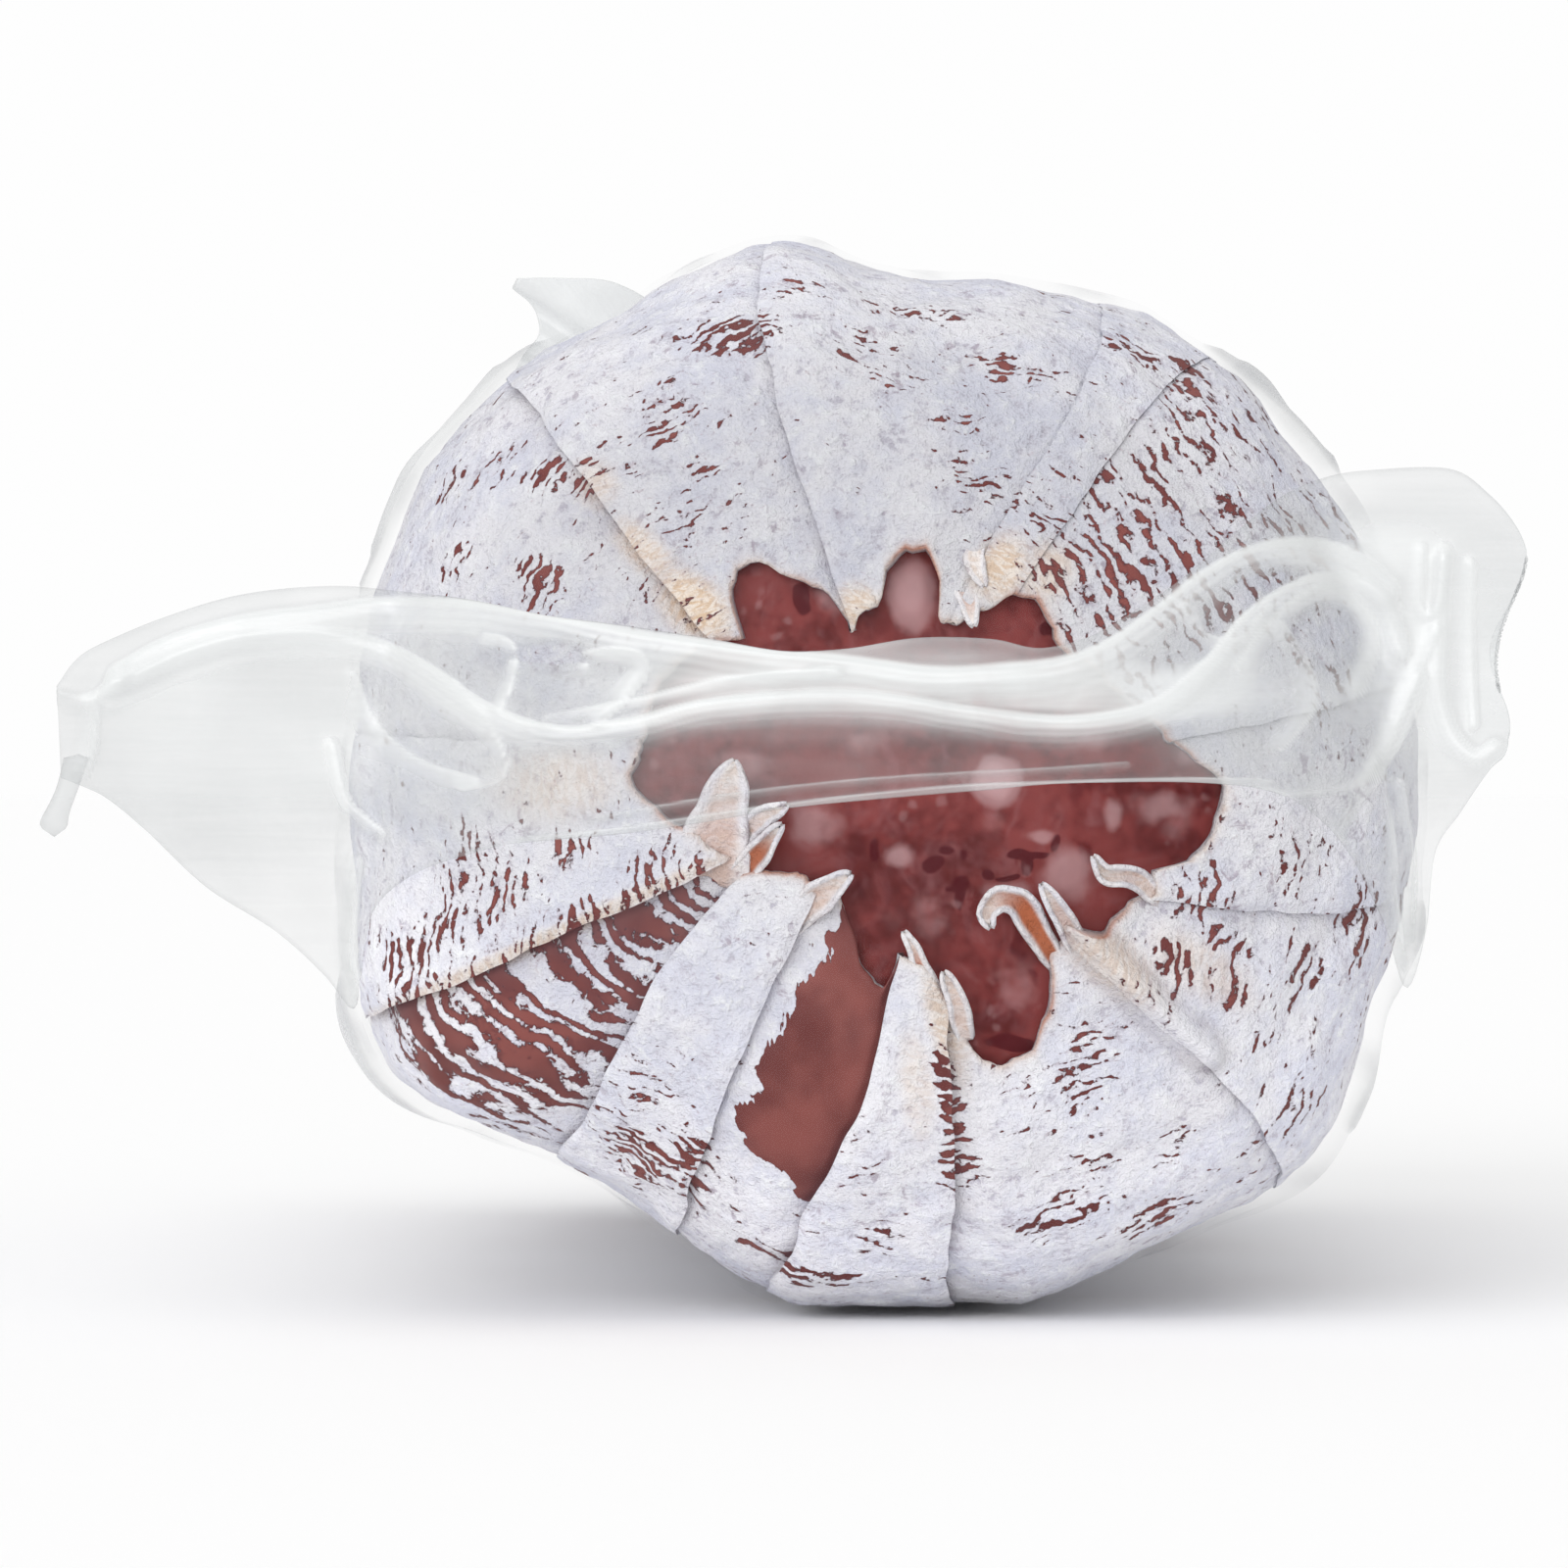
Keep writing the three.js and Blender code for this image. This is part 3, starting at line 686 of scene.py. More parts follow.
def bag_skin():
    """The film round the salami: tight, with standing folds round the rims and a few wrinkles in front."""
    columns, rows = SKIN_COLUMNS, SKIN_ROWS
    angle = np.linspace(0, 360, columns)[None, :] + np.zeros((rows, 1))
    run = WHOLE_RUN * np.linspace(0, 1, rows)[:, None] + 0 * angle
    points = shell(angle, run, 0 * run)
    from_rim = np.where(run < WHOLE_RUN / 2, run - RIM_RUN, WHOLE_RUN - RIM_RUN - run)
    near_rim = np.exp(-((from_rim / 13) ** 2))
    off = hills(angle, STAND_OFF) * near_rim
    folds = np.sin(np.radians(angle) * 23 + 3 * lumps(points, 30, 3.0))
    folds = folds * np.exp(-(((from_rim - 6) / 14) ** 2))
    body = np.sin(np.radians(angle) * 9 + 2.5 * lumps(points * [1, 0.35, 1], 24, 7.0))
    body = np.clip(body - 0.75, 0, 1) * 4 * smooth(0, 30, from_rim)
    relief = FILM_LIFT + off + 0.25 * folds + 0.35 * body + swells(points) + 0.1 * lumps(points, 14, 11.0)
    flat = points[..., [0, 2]] - [0, AXIS]
    on_front = run < RIM_RUN + 3
    haze = CLEAR + 0.008 * lumps(points, 9, 13.0) + 0.16 * np.clip(folds, 0, 1) ** 3 + 0.12 * body
    haze = haze + 0.05 * hills(angle, STAND_OFF) * np.exp(-((from_rim / 7) ** 2))
    for path, width, height, milk in SKIN_WRINKLES:
        away = distance_to(flat, spline(path, 10))
        bell = np.exp(-((away / width) ** 2)) * on_front
        relief, haze = relief + height * bell, haze + milk * bell
    place = shell(angle % 360, run, relief)
    place[..., 2] = np.maximum(place[..., 2], 0)
    place = closed_round(place)
    lay = np.stack([np.radians(angle) * RADIUS, run * 0.12, 0 * run], axis=-1)
    piece = sheet("shrink_bag", columns, rows, place, {"haze": haze, "lay": lay})
    close_up(piece)
    return piece


# The front seal's outline, from the left ear to the right one: points from the axis, across and up.
FRONT_TOP = [
    (-82.7, 9.8), (-81, 12.2), (-78.6, 13.9), (-71.7, 16.8), (-63.9, 19), (-55.1, 19.8), (-48.4, 19.2),
    (-40.7, 18.1), (-33.1, 16.5), (-25.4, 15.4), (-17.7, 14.2), (-10, 12.9), (-4, 13.2), (3, 14.3),
    (10.2, 14.2), (15, 13.3), (19.8, 14.4), (24.6, 17.1), (29.4, 20.4), (34.2, 24.5), (39, 28.3),
    (43.9, 30.6), (48.8, 31.4), (56.6, 31.5), (60.5, 28.9), (63, 26), (64.2, 23.3), (63.8, 21.4),
]
FRONT_HEM = [
    (-82.3, 0.6), (-80.2, -0.2), (-77.6, -1.5), (-73.7, -4.7), (-67.8, -10.3), (-60.9, -14.7), (-56, -19.1),
    (-53.1, -22.5), (-52.3, -19), (-51, -12.6), (-47, -9), (-40.6, -6.8), (-35.9, -5.8), (-25.4, -4.8),
    (-17.7, -3.7), (-10, -2.4), (-0.4, -1.4), (9.2, -0.6), (18.8, 0.1), (33.2, 0), (40.9, -1.9),
    (46.5, -7.2), (50, -14), (52.2, -20.4), (54.2, -14.7), (55.1, -6.9), (57.6, -2.9), (60.5, 1.4),
    (62, 2.9), (62.6, 5.4),
]
# Ridges and folds of the front seal: path, width, height, milkiness.
FRONT_RIDGES = [
    ([(-76.3, 10.6), (-70.5, 13.4), (-62.8, 15.4), (-55.1, 16.5), (-48.4, 17.1), (-38.8, 16.5), (-29.2, 14.6),
      (-19.6, 12.9), (-10, 11.6), (-0.4, 10.5), (7.3, 10.1), (15, 10.6), (21.7, 12.5), (27.5, 16.1),
      (32.3, 20), (37.1, 22.5), (41.9, 23.1), (46.7, 21.7), (50, 19.2)], 1.5, 1.8, 0.6),
    ([(-77.2, 9.1), (-67.6, 13), (-58, 14.2), (-51.3, 13.4), (-45.5, 10.8), (-40.7, 7.7), (-35.9, 5.6),
      (-31.1, 4.6), (-25.4, 5.4), (-17.7, 7.1), (-8.1, 7.9), (1.5, 7.5), (11.1, 6), (18.8, 5.6), (26.5, 6.9),
      (32.3, 11.5), (36.1, 16.1), (40.9, 19.2), (45.7, 20), (49.6, 18.1), (51.5, 13.4)], 1.1, 1.4, 0.6),
    ([(-33.1, 6.2), (-25.4, 7.5), (-15.8, 9.6), (-5.2, 10.6)], 0.8, 0.6, 0.3),
    ([(-39.3, 14.4), (-37.4, 13.9), (-36.7, 12.7), (-36.9, 10.6), (-38, 7.7)], 0.5, 0.6, 0.4),
    ([(-36.7, 11.7), (-33.1, 11.2), (-29.6, 11.3)], 0.6, 0.6, 0.45),
    ([(-29.2, 12.5), (-25.4, 12.7), (-23.9, 11.5), (-25.4, 9.1), (-28.3, 6.2)], 0.7, 0.6, 0.35),
    ([(-35.9, -5.6), (-25.4, -4.5), (-10, -2.2), (9.2, -0.3), (33.2, 0.3), (38, 0.2)], 0.35, 0.3, 0.3),
    ([(-29.2, -3.6), (-13.8, -1), (-0.4, 0.4), (13.1, 1.2), (23.6, 1.9)], 0.3, 0.2, 0.25),
    ([(-55.1, 3.8), (-54.6, 1), (-53.7, -1.9), (-51.8, -3.7), (-50.2, -5)], 0.6, 0.9, 0.5),
    ([(-52.6, -7.7), (-53.2, -12.5), (-53.4, -17.3), (-52.4, -21.5)], 0.7, 0.9, 0.5),
    ([(-53.2, 10.6), (-51.3, 5.8), (-46.5, 1.9), (-40.7, 0)], 0.8, 0.5, 0.25),
    ([(-42.7, 9.6), (-38.8, 4.8), (-37.9, 1), (-41.7, 0)], 0.7, 0.5, 0.22),
    ([(35.1, 11.5), (38, 15.4), (42.8, 18.9), (46.9, 18.1), (48.8, 14.4), (47.2, 9.6)], 0.8, 0.7, 0.35),
    ([(39, 15.4), (41.4, 11.5), (41.9, 7.7), (39, 3.8)], 0.8, 0.5, 0.3),
    ([(29.4, 17.3), (31.3, 14.4), (35.1, 13.9), (38, 17.3)], 0.6, 0.5, 0.3),
    ([(53.6, 10.6), (50.5, 3.8), (45.7, -2.9), (42.8, -8.2), (40.1, -12.7)], 0.9, 0.9, 0.4),
    ([(54.8, 15.4), (51.5, 7.7), (47.6, 1), (38, -1)], 0.8, 0.6, 0.35),
    ([(55.8, 22.5), (55.6, 15.7), (55.4, 9.8), (56.6, 4.9), (59, 2.6), (61, 3.6)], 0.9, 1.2, 0.4),
    ([(58.6, 22), (58.6, 15.7), (58.8, 9.8), (59, 5.9)], 0.5, 0.7, 0.3),
    ([(53.7, 23.5), (53.5, 18.6), (54.2, 16.8), (55.4, 18.1), (56.1, 23.5)], 0.5, 0.6, 0.3),
    ([(49.1, 1.4), (50.3, -4.8), (50.9, -11.5), (51.6, -18)], 0.7, 0.7, 0.4),
    ([(51.5, 0), (52.6, -7.7), (52.4, -15.4)], 0.6, 0.6, 0.35),
    ([(-82.2, 8.8), (-79.4, 8.4), (-76.3, 10.6)], 0.8, 0.8, 0.3),
    ([(-79.2, 8.2), (-79.4, 4), (-80.2, 1.2)], 0.8, 0.7, 0.3),
]
# Where the front seal is milky and where it is clear: across, up, half-width, half-height, haze added.
FRONT_CLOUDS = [
    (-66, 4, 17, 14, 0.2), (-45, 4, 12, 9, 0.22), (56, 14, 12, 16, 0.3), (38, 9, 13, 10, 0.2),
    (-33, 12.4, 4, 1.6, -0.3), (22, 9, 16, 3, 0.26), (-48, 14.6, 14, 3, 0.2), (3, 12.6, 12, 2, 0.1),
    (44, 13.5, 4.5, 4, -0.16), (35, 16.5, 4, 3, -0.1), (-8, 9.8, 26, 1.6, 0.14), (46, 24, 9, 4, 0.2),
    (-2, 9.5, 46, 5, 0.16),
]
# The last of the melted film, which hangs from the left ear's corner as a drip.
FRONT_DRIP = [(-80.6, 3), (-81.7, -0.5), (-82.9, -3.4), (-83, -4.9)]

REAR_TOP = [
    (-77.8, 3.6), (-74.5, 8), (-69.5, 13.4), (-62, 15.6), (-50, 12), (-30, 6), (0, 3.8), (30, 4.9),
    (52, 8.1), (62.2, 11.9), (69.8, 9.7),
]
REAR_HEM = [
    (-77.2, 2.4), (-73.6, 3), (-70.4, 1.4), (-68.6, -3.6), (-62, -12), (-50, -10.8), (-30, -8.1), (0, -7),
    (30, -7), (50, -8.1), (60, -3.8), (68.2, 2.2),
]
REAR_RIDGES = [
    ([(-76, 1.5), (-62, 6.5), (-46, 5.5), (-20, 3), (10, 2.4), (40, 4), (58, 7.6), (67, 7.2)], 1.4, 1.6, 0.5),
    ([(-70, -3), (-56, 1), (-34, 0), (0, -1), (34, -0.6), (58, 2.6)], 1.1, 1.1, 0.45),
    ([(-60, -9), (-52, -3), (-42, -1)], 0.9, 0.7, 0.3),
    ([(48, -5), (56, 0), (62, 7)], 0.9, 0.7, 0.3),
]
REAR_CLOUDS = [(-66, 4, 16, 14, 0.45), (58, 4, 14, 9, 0.25), (0, 0, 40, 4, 0.08)]
REAR_TURN = -53  # degrees: how far the bag twists from the front seal to the rear one
EAR_SHARE = 0.93  # past this share of the section an ear stands out from the salami
EAR_EASE = 0.03  # how gently it leaves the salami there
STAND = 1.9  # how far the seal's sheet stands off the casing
FLOOR_GAP = 1.0  # the lowest an ear comes to the surface underneath
SEAL_WALL = 0.4  # two layers of film and the weld
LINE_STEP = 0.62  # from one fine line of a ridge to the next, in widths of the ridge


def seal(name, side, turn, top, hem, ridges, clouds, columns, rows, veil, notch):
    """A welded fin of film across one end, from its top edge to its hem. veil is its haze where nothing else
    clouds it, and notch is how far its right side dips in."""
    s, t = np.linspace(0, 1, columns), np.linspace(0, 1, rows)[:, None, None]
    upper, lower = evenly(spline(top, 14), s), evenly(spline(hem, 14), s)
    flat = upper + (lower - upper) * t
    flat[..., 0] -= notch * np.sin(np.pi * t[..., 0]) ** 2 * np.exp((s - 1) / 0.035)
    relief, haze = np.zeros(flat.shape[:2]), np.full(flat.shape[:2], veil)
    grain = np.concatenate([flat, 0 * flat[..., :1]], axis=-1)
    drift = 0.3 * lumps(grain, 11, 71.0)
    for path, width, height, milk in ridges:
        u = signed_distance(flat, spline(path, 10)) / width + drift
        ends = smooth(0, 6, np.hypot(*(flat - path[0]).T).T) * smooth(0, 6, np.hypot(*(flat - path[-1]).T).T)
        sheen = smooth(-2.6, 0.5, u) * (1 - smooth(0.75, 1.15, u))
        lines = 0.5 + 0.5 * np.cos(2 * np.pi * u / LINE_STEP + 2 * lumps(grain, 5, 73.0))
        lines = lines * (width > 0.85)
        welt = np.exp(-(((u - 0.75) / 0.3) ** 2))
        relief = relief + height * (0.4 * np.exp(-(u ** 2)) + 0.1 * welt)
        haze = haze + milk * (0.55 * sheen + 0.5 * welt * (0.4 + 0.6 * ends) + 0.16 * lines * sheen)
    for x, z, half_x, half_z, milk in clouds:
        haze = haze + milk * (1 - smooth(0.4, 1.3, oval(flat, x, z, half_x, half_z)))
    edge = np.minimum(t[..., 0], 1 - t[..., 0]) * np.linalg.norm(upper - lower, axis=1)
    haze = haze + 0.1 * np.exp(-((edge / 0.5) ** 2))
    angle = np.radians(turn)
    spin = np.array([[math.cos(angle), math.sin(angle)], [-math.sin(angle), math.cos(angle)]])
    set_up = flat @ spin
    set_up[..., 1] = np.maximum(set_up[..., 1], FLOOR_GAP - AXIS)
    round_axis = np.degrees(np.arctan2(set_up[..., 1], set_up[..., 0])) % 360
    share = np.hypot(set_up[..., 0], set_up[..., 1]) / section_radius(round_axis, side * HALF)
    eased = EAR_EASE * np.tanh((share - EAR_SHARE + EAR_EASE) / EAR_EASE) * (share > EAR_SHARE - EAR_EASE)
    soft_share = np.minimum(share, EAR_SHARE - EAR_EASE + eased)
    depth = np.interp(soft_share, PROFILE_SHARE, PROFILE_DEPTH)
    wave = 0.4 * lumps(grain, 9, 51.0) + 1.2 * smooth(0.95, 1.2, share) * lumps(grain, 16, 57.0)
    y = side * (HALF + STAND - depth + relief + wave)
    place = np.stack([set_up[..., 0], y, AXIS + set_up[..., 1]], axis=-1)
    run = s * np.linalg.norm(np.diff(upper, axis=0), axis=1).sum()
    lay = np.stack([flat[..., 1], 0.07 * run + 0 * flat[..., 0], 0 * flat[..., 0]], axis=-1)
    haze = haze + 0.03 * lumps(grain, 6, 61.0)
    piece = sheet(name, columns, rows, place, {"haze": np.clip(haze, 0.05, 0.9), "lay": lay})
    thicken(piece, SEAL_WALL)
    return piece


DRIP_ROWS, DRIP_COLUMNS = 22, 17
DRIP_BACK = 17.5  # how far behind the seal's foremost point the left ear's corner is


def drip():
    """The thick drop of melted film on the left ear."""
    t = np.linspace(0, 1, DRIP_ROWS)
    line = evenly(spline(FRONT_DRIP, 10), t)
    size = 1.35 - 0.25 * np.sin(t * np.pi) + 0.25 * t ** 3
    size[-3:] *= [0.95, 0.75, 0.3]
    turn = np.linspace(0, 2 * np.pi, DRIP_COLUMNS)
    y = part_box("front_seal")[0].y / MM + DRIP_BACK
    place = np.stack(
        [
            line[:, :1] + size[:, None] * np.cos(turn),
            y + 0.5 * size[:, None] * np.sin(turn),
            AXIS + line[:, 1:] + 0 * turn,
        ],
        axis=-1,
    )
    place[0], place[-1] = place[0].mean(0), place[-1].mean(0) + [0, 0, -0.4]
    base = np.zeros(place.shape[:2])
    lay = np.stack([base + np.cos(turn), base, base], axis=-1)
    piece = sheet("drip", DRIP_COLUMNS, DRIP_ROWS, place, {"haze": base + 0.3, "lay": lay})
    close_up(piece)
    return piece


# ---------------------------------------------------------------- materials


class Nodes:
    """Short ways to place and link nodes in one tree."""

    def __init__(self, tree):
        self.tree = tree

    def add(self, kind, values=None, links=None, **settings):
        node = self.tree.nodes.new(kind)
        for key, value in settings.items():
            setattr(node, key, value)
        for key, value in (values or {}).items():
            node.inputs[key].default_value = value
        for key, source in (links or {}).items():
            self.tree.links.new(source, node.inputs[key])
        return node

    def math(self, operation, a, b=0.0, clamp=False):
        node = self.add("ShaderNodeMath", operation=operation, use_clamp=clamp)
        for socket, value in zip(node.inputs, (a, b)):
            if isinstance(value, (int, float)):
                socket.default_value = value
            else:
                self.tree.links.new(value, socket)
        return node.outputs[0]

    def times(self, a, b, clamp=False):
        return self.math("MULTIPLY", a, b, clamp)

    def plus(self, a, b, clamp=False):
        return self.math("ADD", a, b, clamp)

    def minus(self, a, b):
        return self.math("SUBTRACT", a, b)

    def mix(self, factor, a, b):
        node = self.add("ShaderNodeMix", data_type="RGBA")
        for socket, value in ((node.inputs[0], factor), (node.inputs[6], a), (node.inputs[7], b)):
            if isinstance(value, bpy.types.NodeSocket):
                self.tree.links.new(value, socket)
            else:
                socket.default_value = value
        return node.outputs[2]

    def brightened(self, colour, factor):
        node = self.add("ShaderNodeVectorMath", operation="SCALE")
        self.tree.links.new(colour, node.inputs[0])
        self.tree.links.new(factor, node.inputs[3])
        return node.outputs[0]

    def ramp(self, value, low, high):
        """0 below low, 1 above high, smooth between."""
        node = self.add(
            "ShaderNodeMapRange",
            {"From Min": low, "From Max": high},
            {"Value": value},
            interpolation_type="SMOOTHSTEP",
        )
        return node.outputs[0]

    def noise(self, vector, scale, detail=3.0, distortion=0.0, roughness=0.5):
        node = self.add(
            "ShaderNodeTexNoise",
            {"Scale": scale, "Detail": detail, "Distortion": distortion, "Roughness": roughness},
            {"Vector": vector},
        )
        return node.outputs[0]

    def scaled(self, vector, scale):
        return self.add("ShaderNodeMapping", {"Scale": scale}, {"Vector": vector}).outputs[0]

    def attribute(self, name, output="Fac"):
        return self.add("ShaderNodeAttribute", attribute_name=name).outputs[output]


def srgb(red, green, blue):
    """A colour given as it looks, 0 to 255, as the shader wants it."""
    shares = (red / 255, green / 255, blue / 255)
    linear = [share / 12.92 if share <= 10 / 255 else ((share + 0.055) / 1.055) ** 2.4 for share in shares]
    return (*linear, 1.0)


def new_group(name, inputs, outputs):
    group = bpy.data.node_groups.new(name, "ShaderNodeTree")
    for kind, sockets in (("INPUT", inputs), ("OUTPUT", outputs)):
        for socket, shape in sockets:
            group.interface.new_socket(socket, in_out=kind, socket_type=shape)
    nodes = Nodes(group)
    return group, nodes, nodes.add("NodeGroupInput").outputs, nodes.add("NodeGroupOutput").inputs


def fine_grain():
    """Grain at three sizes, for bumps and for mottled colour: one value from 0 to 1."""
    group, n, given, out = new_group(
        "fine_grain",
        [("Vector", "NodeSocketVector"), ("Size", "NodeSocketFloat")],
        [("Value", "NodeSocketFloat")],
    )
    scale = n.math("DIVIDE", 1.0, given["Size"])
    total = None
    for factor, weight in ((1.0, 0.5), (3.1, 0.3), (8.7, 0.2)):
        finer = n.times(scale, factor)
        one = n.add("ShaderNodeTexNoise", {"Detail": 2.0}, {"Vector": given["Vector"], "Scale": finer})
        part = n.times(one.outputs[0], weight)
        total = part if total is None else n.plus(total, part)
    group.links.new(total, out["Value"])
    return group


def new_material(name, roughness, specular=0.5):
    material = bpy.data.materials.new(name)
    material.use_nodes = True
    nodes = Nodes(material.node_tree)
    shader = material.node_tree.nodes["Principled BSDF"]
    shader.inputs["Roughness"].default_value = roughness
    shader.inputs["Specular IOR Level"].default_value = specular
    return material, nodes, shader


def finish_material(nodes, shader, links):
    for socket, source in links.items():
        nodes.tree.links.new(source, shader.inputs[socket])


def mould_material(grain):
    """White mould over red-brown casing, come off in wavy stripes, most where the wear mask is high. Its
    colour also carries painted shade in the creases and in the grain's pits, and painted fill light where the
    lamps reach least.
    """
    material, n, shader = new_material("mould_on_casing", 0.85, 0.2)
    place = n.attribute("place", "Vector")
    spot = n.add("ShaderNodeTexCoord").outputs["Object"]
    patches = n.noise(n.scaled(place, (0.24, 0.46, 1.0)), 1.0, 3.0, 0.9, 0.6)
    bands = n.add(
        "ShaderNodeTexWave",
        {"Scale": 1.0, "Distortion": 11.0, "Detail": 2.0, "Detail Scale": 1.5, "Detail Roughness": 0.55},
        {"Vector": n.scaled(place, (0.16, 0.23, 0.3))},
        bands_direction="Y",
    ).outputs[1]
    lace = n.noise(spot, 1150, 3.0, 0.8, 0.6)
    worn = n.attribute("wear")
    level = n.plus(n.times(patches, 0.66), n.times(bands, 0.2))
    level = n.plus(level, n.times(n.minus(worn, 0.5), 0.72))
    level = n.plus(level, n.times(n.minus(lace, 0.5), 0.42))
    bare = n.ramp(level, 0.425, 0.45)
    rim = n.times(n.ramp(level, 0.37, 0.425), n.minus(1.0, bare))

    mottle = n.add("ShaderNodeGroup", {"Size": 0.012}, {"Vector": spot}, node_tree=grain).outputs[0]
    fuzz_relief_and_pit_shade = n.add("ShaderNodeGroup", {"Size": 0.0019}, {"Vector": spot}, node_tree=grain).outputs[0]
    white = n.mix(n.ramp(mottle, 0.36, 0.6), srgb(198, 199, 211), srgb(213, 212, 217))
    # Painted shade and light on the fine relief: the grain that raises the bump below also darkens the colour
    # in its pits and lightens it on its tops.
    white = n.mix(n.ramp(fuzz_relief_and_pit_shade, 0.46, 0.34), white, srgb(180, 177, 188))
    white = n.mix(n.ramp(fuzz_relief_and_pit_shade, 0.5, 0.7), white, srgb(220, 221, 224))
    dusty = n.noise(spot, 560, 4.0, 0.5, 0.65)
    dusty = n.times(n.ramp(dusty, 0.57, 0.68), n.ramp(n.noise(spot, 60, 2.0), 0.4, 0.62))
    white = n.mix(n.times(dusty, 0.7), white, srgb(150, 138, 152))
    # Painted fill light: the mould's colour is brightened most where the lamps reach it least.
    white = n.brightened(white, n.plus(n.times(n.attribute("painted_fill"), 0.5), 0.84))
    creamy = n.attribute("cream")
    veins = n.noise(n.scaled(place, (0.5, 1.2, 1.0)), 1.0, 3.0, 1.2)
    cream_colour = n.mix(n.ramp(veins, 0.4, 0.6), srgb(204, 178, 152), srgb(222, 210, 198))
    white = n.mix(creamy, white, cream_colour)
    white = n.mix(n.attribute("tan"), white, srgb(170, 98, 68))
    brown = n.mix(n.ramp(n.noise(spot, 120, 3.0), 0.35, 0.65), srgb(98, 47, 45), srgb(128, 70, 65))
    colour = n.mix(n.times(rim, 0.4), white, srgb(172, 152, 160))
    brown = n.mix(n.ramp(level, 0.44, 0.54), srgb(96, 48, 49), brown)
    colour = n.mix(bare, colour, brown)
    # Painted shade: the folds' creases and the rope's flanks are darkened towards mauve-grey.
    crease_shade = n.attribute("crease_shade")
    colour = n.mix(n.times(crease_shade, 0.46, True), colour, srgb(116, 98, 108))
    covered = n.minus(1.0, bare)
    height = n.times(covered, n.plus(n.times(fuzz_relief_and_pit_shade, 1.3), 0.35))
    bump = n.add("ShaderNodeBump", {"Strength": 0.9, "Distance": 0.0011}, {"Height": height})
    finish_material(n, shader, {
        "Base Color": colour,
        "Roughness": n.minus(0.9, n.times(bare, 0.45)),
        "Normal": bump.outputs[0],
    })
    return material


def meat_material(grain):
    """Moist cured meat: dark red lean with pale fat grains and a few darker spots."""
    material, n, shader = new_material("cured_meat", 0.35, 0.1)
    spot = n.add("ShaderNodeTexCoord").outputs["Object"]
    warp = n.add("ShaderNodeTexNoise", {"Scale": 200.0, "Detail": 3.0}, {"Vector": spot})
    moved = n.add("ShaderNodeVectorMath", operation="MULTIPLY_ADD")
    n.tree.links.new(warp.outputs[1], moved.inputs[0])
    moved.inputs[1].default_value = (0.0032, 0.0032, 0.0032)
    n.tree.links.new(spot, moved.inputs[2])
    ragged = n.times(n.minus(n.noise(spot, 420, 2.0), 0.5), 0.5)
    cells = n.add("ShaderNodeTexVoronoi", {"Scale": 170.0, "Randomness": 1.0}, {"Vector": moved.outputs[0]})
    chosen = n.ramp(n.noise(spot, 80, 2.0), 0.58, 0.7)
    grains = n.times(n.minus(1.0, n.ramp(cells.outputs[0], 0.12, 0.42)), chosen)
    small = n.add("ShaderNodeTexVoronoi", {"Scale": 460.0, "Randomness": 1.0}, {"Vector": moved.outputs[0]})
    flecks = n.minus(1.0, n.ramp(small.outputs[0], 0.1, 0.34))
    flecks = n.times(flecks, n.ramp(n.noise(spot, 150, 2.0), 0.48, 0.62))
    known = n.attribute("fat")
    inside = n.ramp(n.plus(known, ragged), 0.06, 0.46)
    shown = n.times(inside, n.plus(n.times(known, 0.6), 0.3, True))
    fat = n.math("MAXIMUM", n.times(grains, 0.24), n.times(flecks, 0.22))
    fat = n.math("MAXIMUM", fat, shown)
    tone = n.add("ShaderNodeGroup", {"Size": 0.008}, {"Vector": spot}, node_tree=grain).outputs[0]
    lean = n.mix(n.ramp(tone, 0.38, 0.6), srgb(82, 23, 24), srgb(119, 51, 50))
    marbling = n.noise(n.scaled(moved.outputs[0], (1.0, 1.0, 0.7)), 230, 5.0, 1.4, 0.6)
    lean = n.mix(n.times(n.ramp(marbling, 0.46, 0.7), 0.3), lean, srgb(144, 94, 98))
    blood = n.ramp(n.noise(spot, 190, 1.5, 0.6), 0.66, 0.72)
    marked = n.ramp(n.plus(n.attribute("blood"), ragged), 0.42, 0.54)
    dark = n.math("MAXIMUM", n.times(blood, 0.6), marked)
    lean = n.mix(n.times(dark, 0.9), lean, srgb(70, 0, 12))
    colour = n.mix(fat, lean, srgb(176, 140, 142))
    height = n.plus(tone, n.times(fat, 0.4))
    bump = n.add("ShaderNodeBump", {"Strength": 0.25, "Distance": 0.0008}, {"Height": height})
    finish_material(n, shader, {
        "Base Color": colour,
        "Roughness": n.plus(0.26, n.times(tone, 0.25)),
        "Normal": bump.outputs[0],
    })
    return material


def film_material():
    """Clear shrink film: nearly unseen where it is tight, milky along folds, along welds and where it lies
    double."""
    material, n, shader = new_material("shrink_film", 0.22, 0.5)
    lay = n.attribute("lay", "Vector")
    spot = n.add("ShaderNodeTexCoord").outputs["Object"]
    threads = n.noise(n.scaled(lay, (0.8, 0.6, 1.0)), 1.0, 3.0, 0.4, 0.5)
    clouds = n.noise(spot, 90, 3.0, 0.8)
    haze = n.attribute("haze")
    swing = n.plus(n.times(threads, 0.45), n.times(clouds, 0.6))
    alpha = n.times(haze, n.plus(0.48, swing), True)
    colour = n.mix(n.ramp(haze, 0.15, 0.6), srgb(166, 169, 170), srgb(210, 212, 212))
    bump = n.add("ShaderNodeBump", {"Strength": 0.12, "Distance": 0.0004}, {"Height": threads})
    finish_material(n, shader, {"Base Color": colour, "Alpha": alpha, "Normal": bump.outputs[0]})
    return material


def dress(piece, material):
    piece.data.materials.clear()
    piece.data.materials.append(material)


# ---------------------------------------------------------------- the pieces

grain = fine_grain()
mould = mould_material(grain)
film = film_material()

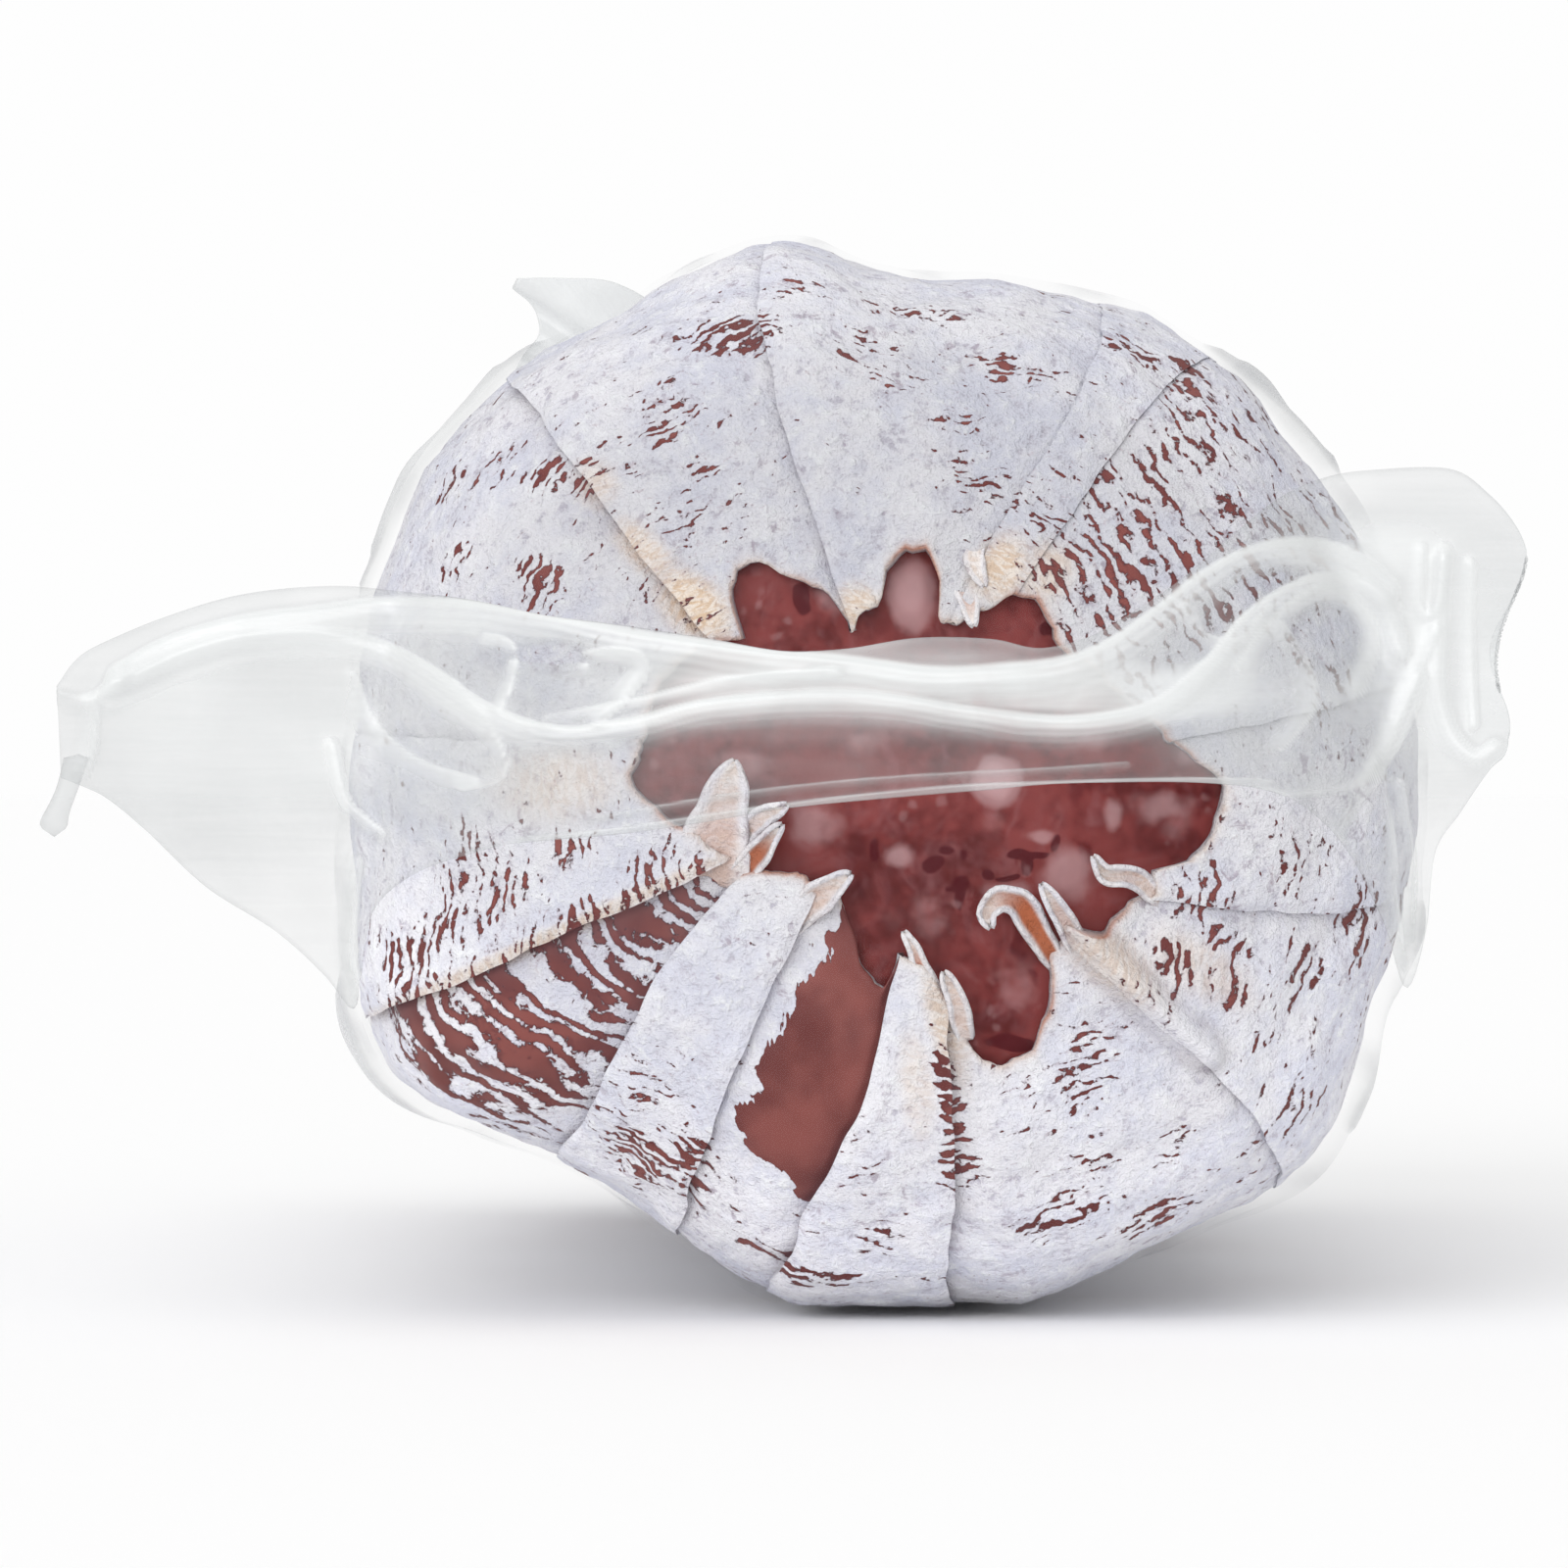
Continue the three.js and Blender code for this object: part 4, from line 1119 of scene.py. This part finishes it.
casing_piece = join([casing()] + [rag(i, *one) for i, one in enumerate(RAGS)])
dress(casing_piece, mould)
meat_piece = meat()
dress(meat_piece, meat_material(grain))
skin_piece = bag_skin()
dress(skin_piece, film)
front_piece = join([
    seal(
        "front_seal_film", -1, 0, FRONT_TOP, FRONT_HEM, FRONT_RIDGES, FRONT_CLOUDS,
        columns=380, rows=116, veil=0.115, notch=2.6,
    ),
    drip(),
])
dress(front_piece, film)
rear_piece = seal(
    "rear_seal_film", 1, REAR_TURN, REAR_TOP, REAR_HEM, REAR_RIDGES, REAR_CLOUDS,
    columns=240, rows=44, veil=0.2, notch=0.0,
)
dress(rear_piece, film)

for piece, node, slot in (
    (meat_piece, "meat", "meat"),
    (casing_piece, "casing", "casing"),
    (skin_piece, "bag_skin", "film"),
    (front_piece, "front_seal", "film"),
    (rear_piece, "rear_seal", "film"),
):
    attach(piece, "root")
    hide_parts(node)
    if slot == "film":  # light passes through clear film without a shadow
        piece.visible_shadow = piece.visible_diffuse = False

# ---------------------------------------------------------------- floor, light and camera

FLOOR_SIZE = 60  # metres
FLOOR_DROP = 0.2  # how far it lies under what it carries


def floor():
    deselect()
    bpy.ops.mesh.primitive_plane_add(size=FLOOR_SIZE, location=(0, 0, -FLOOR_DROP * MM))
    piece = bpy.context.object
    piece.name = "floor"
    material, _, shader = new_material("pale_floor", 0.9, 0.1)
    shader.inputs["Base Color"].default_value = (0.97, 0.97, 0.97, 1)
    dress(piece, material)


# Soft lamps: name, degrees from straight down and round to the left, strength, and how wide each looks in
# degrees.
LAMPS = [("front_lamp", 86, -12, 1.5, 50), ("key_lamp", 66, -34, 0.6, 40), ("top_lamp", 14, 0, 0.7, 60)]
STUDIO_LIGHT, STUDIO_SEEN = 0.67, 0.99  # the white all round: as a light, and to the eye


def lamps():
    for name, tilt, aside, energy, width in LAMPS:
        deselect()
        bpy.ops.object.light_add(type="SUN", rotation=(math.radians(tilt), 0, math.radians(aside)))
        lamp = bpy.context.object
        lamp.name = name
        lamp.data.energy = energy
        lamp.data.angle = math.radians(width)


def world():
    """A white studio: bright to the eye, and gentler as a light."""
    made = bpy.data.worlds.new("studio")
    bpy.context.scene.world = made
    made.use_nodes = True
    tree = made.node_tree
    back = tree.nodes["Background"]
    back.inputs["Color"].default_value = (1, 1, 1, 1)
    back.inputs["Strength"].default_value = STUDIO_LIGHT
    seen = tree.nodes.new("ShaderNodeBackground")
    seen.inputs["Color"].default_value = (1, 1, 1, 1)
    seen.inputs["Strength"].default_value = STUDIO_SEEN
    path = tree.nodes.new("ShaderNodeLightPath")
    mixed = tree.nodes.new("ShaderNodeMixShader")
    tree.links.new(path.outputs["Is Camera Ray"], mixed.inputs[0])
    tree.links.new(back.outputs[0], mixed.inputs[1])
    tree.links.new(seen.outputs[0], mixed.inputs[2])
    tree.links.new(mixed.outputs[0], tree.nodes["World Output"].inputs["Surface"])


CAMERA_ASIDE = -10  # the camera stands this far to the left of the axis
CAMERA_DISTANCE = 780  # from the front rim
FRAME_WIDTH = 160  # what the picture takes in at the front rim
SENSOR = 36


def camera():
    deselect()
    rim = -(HALF - END_DEPTH)
    place = (CAMERA_ASIDE * MM, (rim - CAMERA_DISTANCE) * MM, AXIS * MM)
    bpy.ops.object.camera_add(location=place, rotation=(math.pi / 2, 0, 0))
    made = bpy.context.object
    made.name = "camera"
    made.data.sensor_width = SENSOR
    made.data.lens = SENSOR * CAMERA_DISTANCE / FRAME_WIDTH
    made.data.clip_start, made.data.clip_end = 0.01, 50
    bpy.context.scene.camera = made


floor()
lamps()
world()
camera()
scene = bpy.context.scene
scene.view_settings.view_transform = "Standard"
scene.cycles.transparent_max_bounces = 24
